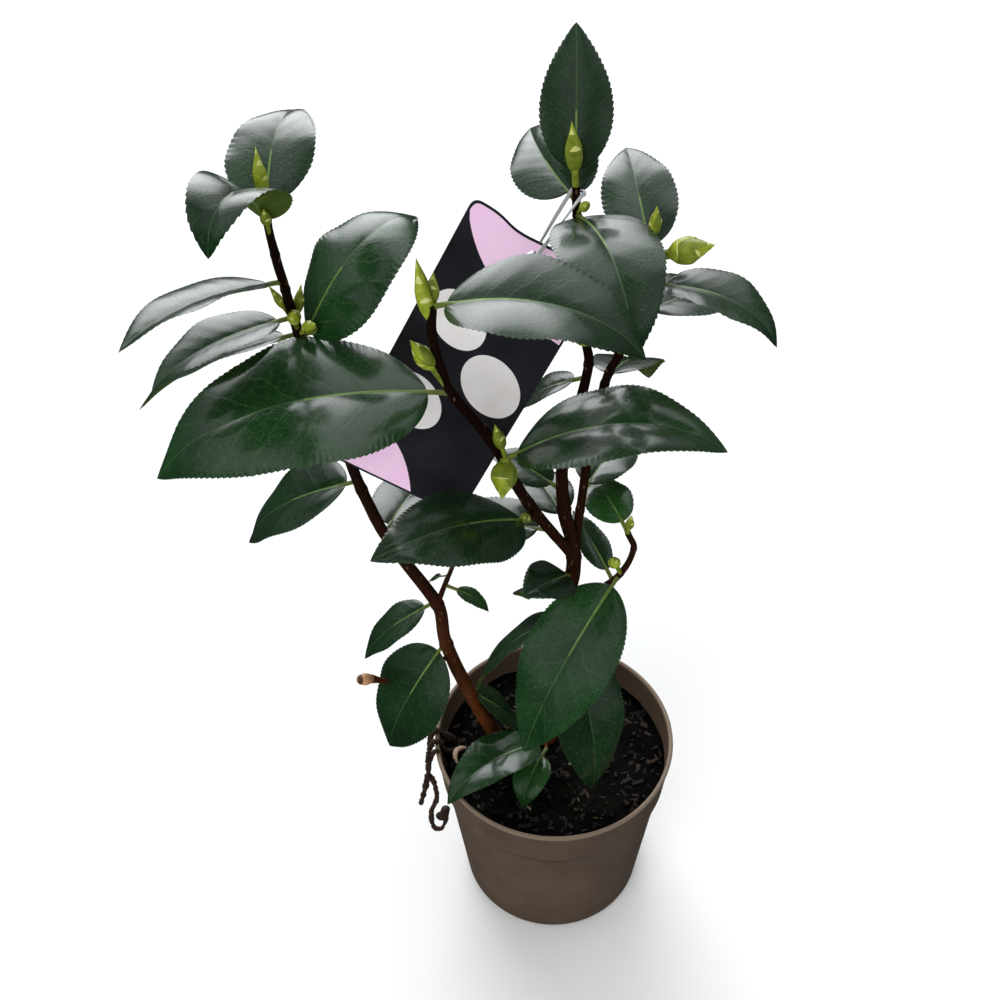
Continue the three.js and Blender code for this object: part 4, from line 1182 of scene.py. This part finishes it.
def build_wire():
    """Two strands that go round the leader and through the card's hole."""
    stem = along_path(LIMBS["trunk"]["points"], WIRE_AT)
    hole = card_points([HOLE_CENTRE], CARD["thickness"] / 2)[0]
    turn = [(HOLE_CENTRE[0], HOLE_CENTRE[1] - WIRE_TURN["above"])]
    front, back = (card_points(turn, side * WIRE_TURN["off"])[0] for side in (-1, 1))
    away = unit((stem - hole) * (1, 1, 0))
    across = np.cross((0, 0, 1), away)
    around = [stem + WIRE_LOOP * (away * math.cos(a) + across * math.sin(a))
              for a in np.radians([-90, -45, 0, 45, 90])]
    route = np.array([*around, back, hole, front])
    closed = np.array([*route[-2:], *route, *route[:3]])
    stations = np.linspace(2, 2 + len(route), 181)[:-1]
    wire = Piece("card_wire_strands", principled("wire", "dcdee0", 0.3, Metallic=0.65)[0])
    for phase in (0, math.pi):
        twist = phase + circle(len(stations)) * STRAND["twists"]
        shift = np.outer(np.cos(twist), across) + np.outer(np.sin(twist), (0, 0, 1))
        strand = points_along(closed, stations) + shift * STRAND["apart"] / 2
        wire.grid(tube(strand, [STRAND["radius"]] * len(strand), 8, closed=True), ends=False)
    wire.make("wire", "card_wire")


# Studio

# The white surround as seen, and the light it gives from above and from below
SURROUND = dict(seen=0.95, above=0.16, below=0.02)
# Soft glows in the surround: azimuth and height of the middle, angle out to the edge, strength
GLOWS = [(104, 32, 33, 5.3), (60, 60, 34, 1.4), (155, 50, 34, 0.5), (-35, 42, 50, 0.45),
         (-150, 42, 40, 0.5)]
# Broad lamps that gloss does not mirror: azimuth and height, angle across, strength
LAMPS = [(-80, 80, 40, 0.3), (-120, 25, 50, 1.4)]


def glow(tree, direction, azimuth, pitch, spread, strength):
    """A light patch of the surround, brightest in its middle and soft to its edge."""
    facing = add(tree, "VectorMath", {0: direction, 1: tuple(heading(azimuth, pitch))},
                 operation="DOT_PRODUCT").outputs["Value"]
    soft = add(tree, "MapRange", {"Value": facing, "From Min": math.cos(math.radians(spread)),
                                  "From Max": 1.0, "To Max": strength}, interpolation_type="SMOOTHSTEP")
    return soft.outputs["Result"]


def axes(right, up, back):
    """A placement's matrix from its three directions."""
    return Matrix(np.stack([right, up, back], 1).tolist()).to_4x4()


FLOOR_REACH = 6.0  # metres


def build_floor():
    mesh = bpy.data.meshes.new("floor")
    corners = [(x * FLOOR_REACH, y * FLOOR_REACH, 0) for x, y in ((-1, -1), (1, -1), (1, 1), (-1, 1))]
    mesh.from_pydata(corners, [], [(0, 1, 2, 3)])
    made, tree, shader = principled("floor_paper", "f4f4f2", 0.9)
    grain = noise(tree, place(tree), 3)
    tree.links.new(mixed(tree, grain, "f2f2f0", "f6f6f5"), shader.inputs["Base Color"])
    mesh.materials.append(made)
    floor = link("floor", mesh)
    floor.location.z = -0.3 * MM
    floor.visible_glossy = False
    floor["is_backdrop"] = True


def build_surround():
    world = bpy.data.worlds.new("studio")
    world.use_nodes = True
    tree = world.node_tree
    seen = add(tree, "LightPath").outputs["Is Camera Ray"]
    direction = add(tree, "TexCoord").outputs["Generated"]
    level = add(tree, "SeparateXYZ", {0: direction}).outputs[2]
    sky = ranged(tree, level, -0.1, 0.25, SURROUND["below"], SURROUND["above"])
    for patch in GLOWS:
        sky = math_node(tree, "ADD", sky, glow(tree, direction, *patch))
    background = tree.nodes["Background"]
    background.inputs["Color"].default_value = (0.96, 0.98, 1.0, 1)
    tree.links.new(ranged(tree, seen, 0.0, 1.0, sky, SURROUND["seen"]), background.inputs["Strength"])
    bpy.context.scene.world = world


def build_lamps():
    for i, (azimuth, pitch, width, strength) in enumerate(LAMPS, 1):
        light = bpy.data.lights.new(f"lamp_{i}", "SUN")
        light.angle = math.radians(width)
        light.energy = strength
        lamp = link(f"lamp_{i}", light)
        lamp.visible_glossy = False
        back = heading(azimuth, pitch)
        right = unit(np.cross((0.1, 1.0, 0.0), back))
        lamp.matrix_world = axes(right, np.cross(back, right), back)


def build_camera():
    forward = heading(90, -CAMERA["pitch"])
    right = turned(np.array([1.0, 0, 0]), forward, -CAMERA["roll"])
    data = bpy.data.cameras.new("camera")
    data.sensor_width = CAMERA["sensor"]
    data.lens = CAMERA["lens"]
    camera = link("camera", data)
    camera.matrix_world = (Matrix.Translation([value * MM for value in CAMERA["at"]])
                           @ axes(right, np.cross(right, forward), -forward))
    bpy.context.scene.camera = camera


build_camera()
build_pot()
build_soil()
build_rootlets()
build_curled_chip()
build_dried_bud()
build_plant()
build_card()
build_wire()
build_floor()
build_surround()
build_lamps()
bpy.context.scene.view_settings.view_transform = "Standard"

visual_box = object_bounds()
